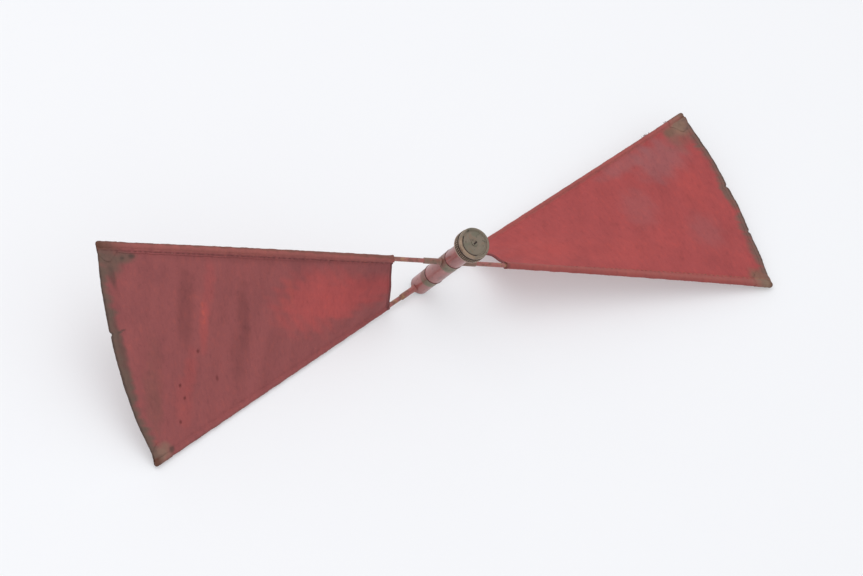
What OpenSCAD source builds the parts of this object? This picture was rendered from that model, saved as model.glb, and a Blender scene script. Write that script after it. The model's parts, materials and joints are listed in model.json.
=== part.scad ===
// Folding bow-tie hand signal for a railway line.
// Two crossed arms on one hub carry two red cloth wings.  The lower arm is fixed to the spindle,
// the upper arm turns on it like a fan, and a knurled knob on top clamps the hub.
// Millimetres.  The hub is drawn upright, with its foot at z = 0, and is then laid down by place()
// so that the signal rests on its foot, on the lower left tip and on the upper right tip.

/* [Hub] */
// Outside diameter of the bottom sleeve
tube_d = 25.4; // [22:0.1:30]
// Extra diameter of the middle and top sleeves
tube_step = 1.2; // [0.6:0.1:2.4]
// Wall of the three sleeves
tube_wall = 1.6; // [1.2:0.1:2.4]
// Diameter of the spindle inside the sleeves
spindle_d = 12.7; // [10:0.1:15]
// Height of the seam between the bottom and middle sleeves
lower_seam_z = 46.5; // [40:0.5:60]
// Height of the seam between the middle and top sleeves
upper_seam_z = 109; // [100:0.5:135]
// Height of the underside of the knob
knob_z = 155; // [150:0.5:190]
// Height of the brass band at the top of the bottom sleeve
lower_band_h = 15; // [8:0.5:24]
// Height of the brass band at the top of the middle sleeve
upper_band_h = 17; // [8:0.5:24]
// Thickness of a brass band
band_wall = 0.8; // [0.5:0.1:1]
// How far a brass band stands proud of its sleeve
band_proud = 0.15; // [0.1:0.05:0.4]
// Thickness of a friction washer in a seam
seam_t = 1.2; // [0.8:0.1:3]
// How far a friction washer stands proud of the wider sleeve
seam_proud = 0.5; // [0.2:0.1:1]

/* [Foot] */
// Thickness of the foot plug's flange
foot_flange_t = 1.4; // [0.8:0.1:1.5]
// Height of the foot plug's boss inside the bottom sleeve
foot_boss_h = 30; // [24:0.5:34]
// Radius of the staff socket in the foot
socket_r = 4; // [3:0.1:4.5]
// Depth of the staff socket
socket_depth = 15; // [12:0.5:18]
// Diameter of the cross pin through foot plug and spindle
pin_d = 3; // [2:0.5:4]
// Height of the cross pin
pin_z = 24; // [21:0.5:27]

/* [Knob] */
// Diameter of the knob over its lip
knob_d = 44; // [36:0.5:54]
// Height of the knob
knob_h = 17.5; // [15:0.5:24]
// Height of the smooth lip under the knurl
lip_h = 3; // [2:0.5:5]
// Height of the knurled band
knurl_h = 6.5; // [4:0.5:8]
// Width of the raised rim round the top disc
rim_w = 3.6; // [2:0.1:6]
// Depth of the top disc below the rim
disc_drop = 0.8; // [0.3:0.1:2]
// Thickness of the top disc
disc_t = 1.8; // [1:0.1:3]
// Diameter of the slotted screw's head
screw_head_d = 8.4; // [6:0.2:12]
// Height of the slotted screw's head
screw_head_h = 0.9; // [0.6:0.1:1.5]
// Diameter of the slotted screw's shank
screw_d = 4; // [3:0.5:5]
// Wall of the threaded insert round the spindle
insert_wall = 2.6; // [2:0.1:4]

/* [Arms] */
// Reach of the upper arm's rods from the hub's axis
upper_reach = 485; // [400:1:582]
// Reach of the lower left rod
lower_left_reach = 480; // [400:1:576]
// Reach of the lower right rod
lower_right_reach = 490; // [400:1:588]
// Height of the upper arm above the foot
upper_arm_z = 95; // [88:0.5:99]
// Height of the lower arm above the foot
lower_arm_z = 5.5; // [5.5:0.1:8]
// Angle between the two arms when the signal is open
fan_angle = 33; // [24:0.5:45]
// How far the taut cloth pulls each tip towards the other arm
bow = 12.5; // [6:0.5:18]
// Sideways bend of the lower left rod
lower_left_bend = 0.5; // [-1:0.1:1]
// Sideways bend of the lower right rod
lower_right_bend = -0.7; // [-1:0.1:1]
// Diameter of a rod
rod_d = 6; // [5:0.1:7]
// Outside diameter of a ferrule
ferrule_d = 8; // [7.4:0.1:8.2]
// Distance from the hub's axis to the end of a ferrule
ferrule_reach = 37.5; // [30:0.5:44]
// Where the rod enters its ferrule
rod_start = 17; // [15:0.5:24]

/* [Cloth] */
// Wall of a rod pocket
pocket_wall = 1.5; // [1:0.1:2]
// Length of a corner patch along its rod
patch_l = 26; // [15:1:40]
// Thickness of a corner patch
patch_t = 0.7; // [0.5:0.1:1.2]
// Thickness of a cloth wing
cloth_t = 1; // [0.8:0.1:1.6]
// Thickness of a hem
hem_t = 2.2; // [1.6:0.1:3]
// Width of the outer hem
outer_hem_w = 9; // [6:0.5:14]
// Width of the inner hem
inner_hem_w = 5; // [3:0.5:8]
// Rise of the left wing's outer edge beyond a straight line
left_crown = 15.5; // [8:0.5:22]
// Rise of the right wing's outer edge beyond a straight line
right_crown = 12.5; // [8:0.5:22]
// Start of the cloth on the upper left rod
upper_left_start = 82; // [70:1:110]
// Start of the cloth on the lower left rod
lower_left_start = 64; // [58:1:90]
// Start of the cloth on the upper right rod
upper_right_start = 82; // [70:1:110]
// Start of the cloth on the lower right rod
lower_right_start = 88; // [70:1:110]
// Hollow of the right wing's inner edge
right_hollow = 12.5; // [0:0.5:18]

/* [Fits] */
// Radial running clearance of the bushes on the spindle
run_fit = 0.05; // [0.02:0.01:0.1]
// Axial play between parts that turn on each other
play = 0.3; // [0.2:0.05:0.5]
// Radial clearance of a rod in its ferrule and pocket
rod_fit = 0.05; // [0.02:0.01:0.1]
// Radial clearance of a corner patch on its pocket
patch_fit = 0.05; // [0.02:0.01:0.1]
// Gap between the cloth and the pocket it is sewn to
sewing_gap = 0.3; // [0.2:0.05:0.4]

/* [Hidden] */

$fn = 96;
arc_fn = 3600;       // segments of a full turn of the rods' long, gentle bow
section_fn = 32;     // segments round a rod's section
wing_cells = 20;      // cells of a wing from its inner to its outer hem
cloth_rows = 14;      // cells of the cloth from one rod to the other
spare = 1;           // how far a cutting tool runs past the face it opens

tube_r = tube_d / 2;
wide_r = tube_r + tube_step / 2;
spindle_r = spindle_d / 2;
washer_r = wide_r + seam_proud;
pocket_r = rod_d / 2 + rod_fit + pocket_wall;
patch_r = pocket_r + patch_fit + patch_t;
cloth_start = patch_r + sewing_gap;

// Heights of the hub's stack, from the foot up
bottom_top = lower_seam_z - seam_t / 2;
middle_bottom = lower_seam_z + seam_t / 2 + play;
middle_top = upper_seam_z - seam_t / 2 - play;
top_bottom = upper_seam_z + seam_t / 2;
thrust_t = 1.5;
top_top = knob_z - play - thrust_t;
bush_h = 10;
arm_bush_h = 20;
insert_bottom = knob_z + 1;
insert_h = 12;
spindle_top = knob_z + 8;
spindle_seat = socket_depth + 1;
knob_top = knob_z + knob_h;
disc_top = knob_top - disc_drop;
disc_r = knob_d / 2 - 0.8 - rim_w;
ferrule_inner = spindle_r + 1.4;
ferrule_fillet = 1.6;

// The rods leave the hub square and then bow in an arc towards the other arm
bend_start = ferrule_reach + 1.5;
arc_r = (pow(upper_reach - bend_start, 2) + bow * bow) / (2 * bow);
function arc_angle(reach) = asin((reach - bend_start) / arc_r);
function arc_rise(reach) = arc_r * (1 - cos(arc_angle(max(reach, bend_start))));

// Directions of the four rods seen from above the knob
upper_right_az = -fan_angle;
upper_left_az = 180 - fan_angle;
lower_right_az = lower_right_bend;
lower_left_az = 180 + lower_left_bend;

// The three points the signal rests on, and the turn that lays their plane level
foot_point = [0, -tube_r, 0];
upper_tip = rod_point(upper_reach, upper_right_az, upper_arm_z, -1) - [0, 0, patch_r];
lower_tip = rod_point(lower_left_reach, lower_left_az, lower_arm_z, 1) - [0, 0, patch_r];
rest_normal = cross(upper_tip - foot_point, lower_tip - foot_point);
up = rest_normal * sign(rest_normal.z) / norm(rest_normal);
lean = atan2(up.y, up.z);
roll = atan2(up.x, norm([up.y, up.z]));

function rod_point(reach, az, z, turn) = [
    reach * cos(az), reach * sin(az), z + turn * arc_rise(reach)
];
function mix(a, b, t) = a + (b - a) * t;

// Lays the upright hub down on its three resting points
module place() {
    rotate([0, -roll, 0]) rotate([lean, 0, 0]) children();
}

// Plain ring round the hub's axis
module ring(outer, inner, from, to) {
    translate([0, 0, from]) difference() {
        cylinder(r = outer, h = to - from);
        translate([0, 0, -spare]) cylinder(r = inner, h = to - from + 2 * spare);
    }
}

// Puts its children on one arm, with +X pointing out along the rod
module on_arm(az, z) {
    translate([0, 0, z]) rotate([0, 0, az]) children();
}

// The curved stretch of a bar from one reach to another; turn is 1 to bow up and -1 to bow down
module bowed_bar(r, from, to, turn) {
    start = arc_angle(from);
    mirror([0, 0, turn > 0 ? 0 : 1])
        translate([bend_start, 0, arc_r])
        rotate([90, 0, 0])
        rotate([0, 0, start - 90])
        rotate_extrude(angle = arc_angle(to) - start, $fn = arc_fn)
        translate([arc_r, 0]) circle(r = r, $fn = section_fn);
}

// Straight stretch of a bar along an arm
module straight_bar(r, from, to) {
    translate([from, 0, 0]) rotate([0, 90, 0]) cylinder(r = r, h = to - from, $fn = section_fn);
}

// Blind holes in the hub's wall for the two ferrules of an arm; they stop short of spindle and socket
module ferrule_holes(z, left_az, right_az) {
    for (az = [left_az, right_az])
        on_arm(az, z) straight_bar(ferrule_d / 2, ferrule_inner, ferrule_reach);
}

// Hub, fixed side

module foot_plug() {
    boss_r = tube_r - tube_wall;
    edge = 1;
    color("dimgray") difference() {
        rotate_extrude() {
            difference() {
                union() {
                    translate([0, edge]) square([tube_r, foot_flange_t - edge]);
                    square([tube_r - edge, edge]);
                    translate([tube_r - edge, edge]) circle(r = edge, $fn = section_fn);
                    square([boss_r, foot_boss_h]);
                }
                translate([boss_r, foot_flange_t]) square([tube_r, foot_boss_h]);
            }
        }
        translate([0, 0, -spare]) cylinder(r = socket_r, h = socket_depth + spare);
        translate([0, 0, spindle_seat]) cylinder(r = spindle_r, h = foot_boss_h);
        ferrule_holes(lower_arm_z, lower_left_az, lower_right_az);
        foot_pin_shape();
    }
}

module foot_pin_shape() {
    length = 2 * (tube_r - tube_wall);
    translate([0, length / 2, pin_z]) rotate([90, 0, 0]) cylinder(d = pin_d, h = length);
}

module foot_pin() {
    color("gray") intersection() {
        foot_pin_shape();
        translate([0, 0, pin_z - pin_d]) cylinder(r = tube_r - tube_wall, h = 2 * pin_d);
    }
}

module spindle() {
    chamfer = 1;
    color("slategray") difference() {
        union() {
            translate([0, 0, spindle_seat]) cylinder(r = spindle_r, h = spindle_top - chamfer - spindle_seat);
            translate([0, 0, spindle_top - chamfer])
                cylinder(r1 = spindle_r, r2 = spindle_r - chamfer, h = chamfer);
        }
        foot_pin_shape();
    }
}

module bottom_sleeve() {
    color("indianred") difference() {
        ring(tube_r, tube_r - tube_wall, foot_flange_t, bottom_top);
        ring(tube_r + spare, tube_r + band_proud - band_wall, bottom_top - lower_band_h, bottom_top + spare);
        ferrule_holes(lower_arm_z, lower_left_az, lower_right_az);
    }
}

module lower_band() {
    color("darkkhaki")
        ring(tube_r + band_proud, tube_r + band_proud - band_wall, bottom_top - lower_band_h, bottom_top);
}

module lower_friction_washer() {
    color("darkslategray") ring(washer_r, spindle_r, bottom_top, bottom_top + seam_t);
}

module upper_friction_washer() {
    color("darkslategray") ring(washer_r, spindle_r, upper_seam_z - seam_t / 2, top_bottom);
}

module top_sleeve() {
    color("indianred") ring(wide_r, wide_r - tube_wall, top_bottom, top_top);
}

module top_bush() {
    color("goldenrod") ring(wide_r - tube_wall, spindle_r, top_top - bush_h, top_top);
}

module thrust_washer() {
    color("darkgoldenrod") ring(wide_r + 1, spindle_r, top_top, top_top + thrust_t);
}

// Hub, turning side

module middle_sleeve() {
    color("indianred") difference() {
        ring(wide_r, wide_r - tube_wall, middle_bottom, middle_top);
        ring(wide_r + spare, wide_r + band_proud - band_wall, middle_top - upper_band_h, middle_top + spare);
        ferrule_holes(upper_arm_z, upper_left_az, upper_right_az);
    }
}

module upper_band() {
    color("darkkhaki") difference() {
        ring(wide_r + band_proud, wide_r + band_proud - band_wall, middle_top - upper_band_h, middle_top);
        ferrule_holes(upper_arm_z, upper_left_az, upper_right_az);
    }
}

module lower_bush() {
    color("goldenrod") ring(wide_r - tube_wall, spindle_r + run_fit, middle_bottom, middle_bottom + bush_h);
}

module arm_bush() {
    color("goldenrod") difference() {
        ring(wide_r - tube_wall, spindle_r + run_fit, middle_top - arm_bush_h, middle_top);
        ferrule_holes(upper_arm_z, upper_left_az, upper_right_az);
    }
}

// Knob

module knob_body() {
    lip_r = knob_d / 2;
    knurl_r = lip_r - 0.4;
    neck_r = lip_r - 1.2;
    crown_r = lip_r - 0.8;
    knurl_z = lip_h + 0.8;
    crown_z = knurl_z + knurl_h + 0.8;
    chamfer = 1.4;
    bore_r = spindle_r + run_fit + insert_wall;
    color("peru") translate([0, 0, knob_z]) difference() {
        rotate_extrude() polygon([
            [0, 0], [lip_r - 0.6, 0], [lip_r, 0.6], [lip_r, lip_h - 0.6], [lip_r - 0.6, lip_h],
            [neck_r, lip_h], [neck_r, knurl_z], [knurl_r, knurl_z], [knurl_r, knurl_z + knurl_h],
            [neck_r, knurl_z + knurl_h], [neck_r, crown_z], [crown_r, crown_z],
            [crown_r, knob_h - chamfer], [crown_r - chamfer, knob_h], [0, knob_h]
        ]);
        translate([0, 0, knob_h - disc_drop - disc_t]) cylinder(r = disc_r, h = knob_h);
        translate([0, 0, -spare]) cylinder(r = bore_r, h = knob_h + 2 * spare);
    }
}

module knob_disc() {
    groove_w = 0.8;
    groove_depth = 0.5;
    color("darkkhaki") difference() {
        ring(disc_r, screw_d / 2, disc_top - disc_t, disc_top);
        ring(disc_r - 1.4, disc_r - 1.4 - groove_w, disc_top - groove_depth, disc_top + spare);
    }
}

module knob_insert() {
    insert_r = spindle_r + run_fit + insert_wall;
    color("slategray") difference() {
        translate([0, 0, insert_bottom]) cylinder(r = insert_r, h = disc_top - disc_t - insert_bottom);
        translate([0, 0, insert_bottom - spare])
            cylinder(r = spindle_r + run_fit, h = spindle_top + play - insert_bottom + spare);
        cylinder(d = screw_d, h = knob_top + spare);
    }
}

module knob_screw() {
    slot_w = 1.6;
    slot_depth = 0.7;
    color("black") difference() {
        union() {
            translate([0, 0, spindle_top + play]) cylinder(d = screw_d, h = disc_top - spindle_top - play);
            translate([0, 0, disc_top]) cylinder(d = screw_head_d, h = screw_head_h);
        }
        translate([-screw_head_d, -slot_w / 2, disc_top + screw_head_h - slot_depth])
            cube([2 * screw_head_d, slot_w, slot_depth + spare]);
    }
}

// Arms: each ferrule is threaded through the hub wall and holds one rod

module ferrule(az, z, wall_r) {
    chamfer = 0.6;
    r = ferrule_d / 2;
    on_arm(az, z) rotate([0, 90, 0]) rotate_extrude() polygon([
        [0, ferrule_inner], [r, ferrule_inner], [r, wall_r], [r + ferrule_fillet, wall_r + 0.4],
        [r + ferrule_fillet, wall_r + 0.9], [r, wall_r + 0.9 + ferrule_fillet],
        [r, ferrule_reach - chamfer], [r - chamfer, ferrule_reach],
        [rod_d / 2 + rod_fit, ferrule_reach], [rod_d / 2 + rod_fit, rod_start - play],
        [0, rod_start - play]
    ]);
}

module rod(az, z, turn, reach) {
    rounding = 1;
    on_arm(az, z) {
        straight_bar(rod_d / 2, rod_start, bend_start);
        bowed_bar(rod_d / 2, bend_start, reach - pocket_wall - rounding, turn);
    }
}

module pocket(az, z, turn, start, reach) {
    on_arm(az, z) difference() {
        bowed_bar(pocket_r, start, reach, turn);
        bowed_bar(rod_d / 2 + rod_fit, start - spare, reach - pocket_wall, turn);
    }
}

module patch(az, z, turn, reach) {
    on_arm(az, z) difference() {
        bowed_bar(patch_r, reach - patch_l, reach, turn);
        bowed_bar(pocket_r + patch_fit, reach - patch_l - spare, reach + spare, turn);
    }
}

module upper_left_ferrule() {
    color("saddlebrown") ferrule(upper_left_az, upper_arm_z, wide_r);
}

module upper_right_ferrule() {
    color("saddlebrown") ferrule(upper_right_az, upper_arm_z, wide_r);
}

module lower_left_ferrule() {
    color("saddlebrown") ferrule(lower_left_az, lower_arm_z, tube_r);
}

module lower_right_ferrule() {
    color("saddlebrown") ferrule(lower_right_az, lower_arm_z, tube_r);
}

module upper_left_rod() { color("firebrick") rod(upper_left_az, upper_arm_z, -1, upper_reach); }

module upper_right_rod() { color("firebrick") rod(upper_right_az, upper_arm_z, -1, upper_reach); }

module lower_left_rod() { color("firebrick") rod(lower_left_az, lower_arm_z, 1, lower_left_reach); }

module lower_right_rod() { color("firebrick") rod(lower_right_az, lower_arm_z, 1, lower_right_reach); }

module upper_left_pocket() {
    color("rosybrown") pocket(upper_left_az, upper_arm_z, -1, upper_left_start, upper_reach);
}

module upper_right_pocket() {
    color("rosybrown") pocket(upper_right_az, upper_arm_z, -1, upper_right_start, upper_reach);
}

module lower_left_pocket() {
    color("rosybrown") pocket(lower_left_az, lower_arm_z, 1, lower_left_start, lower_left_reach);
}

module lower_right_pocket() {
    color("rosybrown") pocket(lower_right_az, lower_arm_z, 1, lower_right_start, lower_right_reach);
}

module upper_left_patch() { color("tan") patch(upper_left_az, upper_arm_z, -1, upper_reach); }

module upper_right_patch() { color("tan") patch(upper_right_az, upper_arm_z, -1, upper_reach); }

module lower_left_patch() { color("tan") patch(lower_left_az, lower_arm_z, 1, lower_left_reach); }

module lower_right_patch() { color("tan") patch(lower_right_az, lower_arm_z, 1, lower_right_reach); }

// Cloth: each wing is the sheet of straight lines between its upper and lower rods.
// left is 1 for the left wing and 0 for the right one; v runs from the upper rod to the lower one.

function upper_line(left, r) =
    rod_point(r, left == 1 ? upper_left_az : upper_right_az, upper_arm_z, -1);
function lower_line(left, r) =
    rod_point(r, left == 1 ? lower_left_az : lower_right_az, lower_arm_z, 1);
function inner_edge(left, v) = left == 1
    ? mix(upper_left_start, lower_left_start, v)
    : mix(upper_right_start, lower_right_start, v) + right_hollow * 4 * v * (1 - v);
function outer_edge(left, v) =
    mix(upper_reach, left == 1 ? lower_left_reach : lower_right_reach, v)
    + (left == 1 ? left_crown : right_crown) * 4 * v * (1 - v);
function cloth_point(left, r, v) =
    let (a = upper_line(left, r), b = lower_line(left, r), margin = cloth_start / norm(b - a))
    mix(a, b, mix(margin, 1 - margin, v));
function cloth_normal(left, r, v) =
    let (
        along = cloth_point(left, r + 1, v) - cloth_point(left, r - 1, v),
        across = upper_line(left, r) - lower_line(left, r),
        n = cross(across, along)
    )
    n / norm(n);

// A strip of cloth between two distances, each measured from the inner or the outer edge
module cloth(left, thick, nu, from_inner, from_outer, to_inner, to_outer) {
    nv = cloth_rows;
    function start_r(v) = from_inner == undef ? outer_edge(left, v) - from_outer
        : inner_edge(left, v) + from_inner;
    function end_r(v) = to_inner == undef ? outer_edge(left, v) - to_outer
        : inner_edge(left, v) + to_inner;
    function index(layer, i, j) = layer * (nu + 1) * (nv + 1) + i * (nv + 1) + j;
    points = [
        for (layer = [0, 1], i = [0 : nu], j = [0 : nv])
            let (v = j / nv, r = mix(start_r(v), end_r(v), i / nu))
            cloth_point(left, r, v) + cloth_normal(left, r, v) * thick * (layer - 0.5)
    ];
    faces = concat(
        [for (i = [0 : nu - 1], j = [0 : nv - 1], half = [0, 1]) half == 0
            ? [index(0, i, j), index(0, i + 1, j), index(0, i + 1, j + 1)]
            : [index(0, i, j), index(0, i + 1, j + 1), index(0, i, j + 1)]],
        [for (i = [0 : nu - 1], j = [0 : nv - 1], half = [0, 1]) half == 0
            ? [index(1, i, j), index(1, i + 1, j + 1), index(1, i + 1, j)]
            : [index(1, i, j), index(1, i, j + 1), index(1, i + 1, j + 1)]],
        [for (i = [0 : nu - 1], half = [0, 1]) half == 0
            ? [index(0, i, 0), index(1, i, 0), index(1, i + 1, 0)]
            : [index(0, i, 0), index(1, i + 1, 0), index(0, i + 1, 0)]],
        [for (i = [0 : nu - 1], half = [0, 1]) half == 0
            ? [index(0, i, nv), index(1, i + 1, nv), index(1, i, nv)]
            : [index(0, i, nv), index(0, i + 1, nv), index(1, i + 1, nv)]],
        [for (j = [0 : nv - 1], half = [0, 1]) half == 0
            ? [index(0, 0, j), index(1, 0, j + 1), index(1, 0, j)]
            : [index(0, 0, j), index(0, 0, j + 1), index(1, 0, j + 1)]],
        [for (j = [0 : nv - 1], half = [0, 1]) half == 0
            ? [index(0, nu, j), index(1, nu, j), index(1, nu, j + 1)]
            : [index(0, nu, j), index(1, nu, j + 1), index(0, nu, j + 1)]]
    );
    polyhedron(points = points, faces = faces);
}

module wing(left) {
    cloth(left, cloth_t, wing_cells, from_inner = inner_hem_w, to_outer = outer_hem_w);
}

module outer_hem(left) {
    cloth(left, hem_t, 1, from_outer = outer_hem_w, to_outer = 0);
}

module inner_hem(left) {
    cloth(left, hem_t, 1, from_inner = 0, to_inner = inner_hem_w);
}

module left_wing() { color("firebrick") wing(1); }

module right_wing() { color("crimson") wing(0); }

module left_outer_hem() { color("darkolivegreen") outer_hem(1); }

module right_outer_hem() { color("darkolivegreen") outer_hem(0); }

module left_inner_hem() { color("maroon") inner_hem(1); }

module right_inner_hem() { color("maroon") inner_hem(0); }

place() foot_plug();
place() foot_pin();
place() spindle();
place() bottom_sleeve();
place() lower_band();
place() lower_friction_washer();
place() middle_sleeve();
place() upper_band();
place() lower_bush();
place() arm_bush();
place() upper_friction_washer();
place() top_sleeve();
place() top_bush();
place() thrust_washer();
place() knob_body();
place() knob_disc();
place() knob_insert();
place() knob_screw();
place() upper_left_ferrule();
place() upper_right_ferrule();
place() lower_left_ferrule();
place() lower_right_ferrule();
place() upper_left_rod();
place() upper_right_rod();
place() lower_left_rod();
place() lower_right_rod();
place() upper_left_pocket();
place() upper_right_pocket();
place() lower_left_pocket();
place() lower_right_pocket();
place() upper_left_patch();
place() upper_right_patch();
place() lower_left_patch();
place() lower_right_patch();
place() left_wing();
place() right_wing();
place() left_outer_hem();
place() right_outer_hem();
place() left_inner_hem();
place() right_inner_hem();
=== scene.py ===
"""Looks of a folding bow-tie hand signal for the railway.

The CAD model is the fixed frame.  The cloth wings, rod pockets, bindings, corner patches,
stitches and the knurled knob are modelled here around it, and every surface gets its finish.
Lengths are metres; hub coordinates have the hub's tube along Z and the lower arm along X.
"""

import json
import logging
import math
from collections.abc import Callable, Sequence
from dataclasses import dataclass
from enum import Enum
from functools import cache

import bpy
import numpy as np
from mathutils import Matrix, Quaternion, Vector


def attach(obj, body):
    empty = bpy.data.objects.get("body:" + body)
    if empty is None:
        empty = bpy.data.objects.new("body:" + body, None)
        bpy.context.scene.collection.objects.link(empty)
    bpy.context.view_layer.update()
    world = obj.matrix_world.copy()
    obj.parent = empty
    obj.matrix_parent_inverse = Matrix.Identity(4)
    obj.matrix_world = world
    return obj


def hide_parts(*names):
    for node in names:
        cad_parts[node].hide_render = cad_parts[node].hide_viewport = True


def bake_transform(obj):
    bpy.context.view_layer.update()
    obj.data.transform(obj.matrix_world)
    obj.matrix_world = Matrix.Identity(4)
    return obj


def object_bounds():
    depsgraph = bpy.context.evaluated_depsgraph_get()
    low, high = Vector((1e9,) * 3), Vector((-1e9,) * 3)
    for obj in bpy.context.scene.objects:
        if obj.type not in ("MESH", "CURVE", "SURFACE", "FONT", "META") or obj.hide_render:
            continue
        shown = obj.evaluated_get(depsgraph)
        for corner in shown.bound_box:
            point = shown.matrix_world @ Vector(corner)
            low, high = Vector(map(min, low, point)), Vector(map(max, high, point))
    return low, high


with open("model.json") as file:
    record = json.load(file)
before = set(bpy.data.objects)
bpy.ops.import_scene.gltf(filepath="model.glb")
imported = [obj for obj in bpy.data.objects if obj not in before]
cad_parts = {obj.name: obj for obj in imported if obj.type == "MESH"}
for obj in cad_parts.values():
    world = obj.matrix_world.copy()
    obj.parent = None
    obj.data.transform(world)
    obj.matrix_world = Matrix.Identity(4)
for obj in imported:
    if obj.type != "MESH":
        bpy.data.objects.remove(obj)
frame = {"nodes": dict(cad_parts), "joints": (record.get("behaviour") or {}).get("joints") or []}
CAD_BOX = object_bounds()
MM = 0.001
LOG = logging.getLogger("hand_signal")

Colour = tuple[float, float, float]
Number = "Value | float"
Arrays = tuple[np.ndarray, np.ndarray, np.ndarray]
Fill = Callable[[np.ndarray, np.ndarray], Arrays]


def srgb(red: int, green: int, blue: int) -> Colour:
    """Linear colour of a screen colour given as three numbers up to 255.

    Args:
        red: Red share.
        green: Green share.
        blue: Blue share.

    Returns:
        The linear red, green and blue.
    """
    shares = (c / 255 for c in (red, green, blue))
    return tuple(s / 12.92 if s <= 0.04045 else ((s + 0.055) / 1.055) ** 2.4 for s in shares)


def smooth(values: np.ndarray, low: float, high: float) -> np.ndarray:
    """Soft step from 0 at low to 1 at high.

    Args:
        values: What the step is taken of.
        low: Where the step starts.
        high: Where the step ends.

    Returns:
        The step's height at each value.
    """
    share = np.clip((values - low) / (high - low), 0, 1)
    return share * share * (3 - 2 * share)


def ripple(values: np.ndarray, seed: int, waves: int = 5) -> np.ndarray:
    """Smooth irregular wave of about unit height, the same on every run.

    Args:
        values: Where the wave is wanted, in wavelengths.
        seed: Picks the wave's phases.
        waves: How many plain waves are summed.

    Returns:
        The wave's height at each value.
    """
    draw = np.random.default_rng(seed)
    total = np.zeros_like(values)
    for _ in range(waves):
        total += np.sin(2 * math.pi * (values * draw.uniform(0.6, 1.7) + draw.uniform(0, 1)))
    return total / math.sqrt(waves)


def over(colours: np.ndarray, colour: Colour, cover: np.ndarray) -> np.ndarray:
    """Colours with another colour laid over them, by a cover between 0 and 1 for each."""
    share = np.clip(cover, 0, 1)[:, None]
    return colours * (1 - share) + np.array(colour) * share


class Side(Enum):
    """The two ends of the bow tie."""

    LEFT = "left"
    RIGHT = "right"


class Level(Enum):
    """The two crossing arms; each is also the name of a body."""

    UPPER = "upper"
    LOWER = "lower"

    @property
    def body(self) -> str:
        """Body that this arm's rods, pockets and patches ride on."""
        return f"{self.value}_arm"

    @property
    def turn(self) -> int:
        """Which way the rods bow: 1 is towards the knob."""
        return -1 if self is Level.UPPER else 1


# ---------------------------------------------------------------- shader graph


class Value:
    """Output socket of a material's graph that takes part in Python expressions."""

    def __init__(self, graph: "Graph", socket: bpy.types.NodeSocket) -> None:
        """Keeps the graph and the socket.

        Args:
            graph: Graph that the socket belongs to.
            socket: Output socket.
        """
        self.graph = graph
        self.socket = socket

    def _math(self, operation: str, first: Number, second: Number) -> "Value":
        """Adds a Math node and returns its result."""
        return self.graph.node("ShaderNodeMath", {"operation": operation}, {0: first, 1: second})

    def __add__(self, other: Number) -> "Value":
        """Sum."""
        return self._math("ADD", self, other)

    __radd__ = __add__

    def __sub__(self, other: Number) -> "Value":
        """Difference."""
        return self._math("SUBTRACT", self, other)

    def __rsub__(self, other: Number) -> "Value":
        """Difference with the number first."""
        return self._math("SUBTRACT", other, self)

    def __mul__(self, other: Number) -> "Value":
        """Product."""
        return self._math("MULTIPLY", self, other)

    __rmul__ = __mul__


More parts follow.
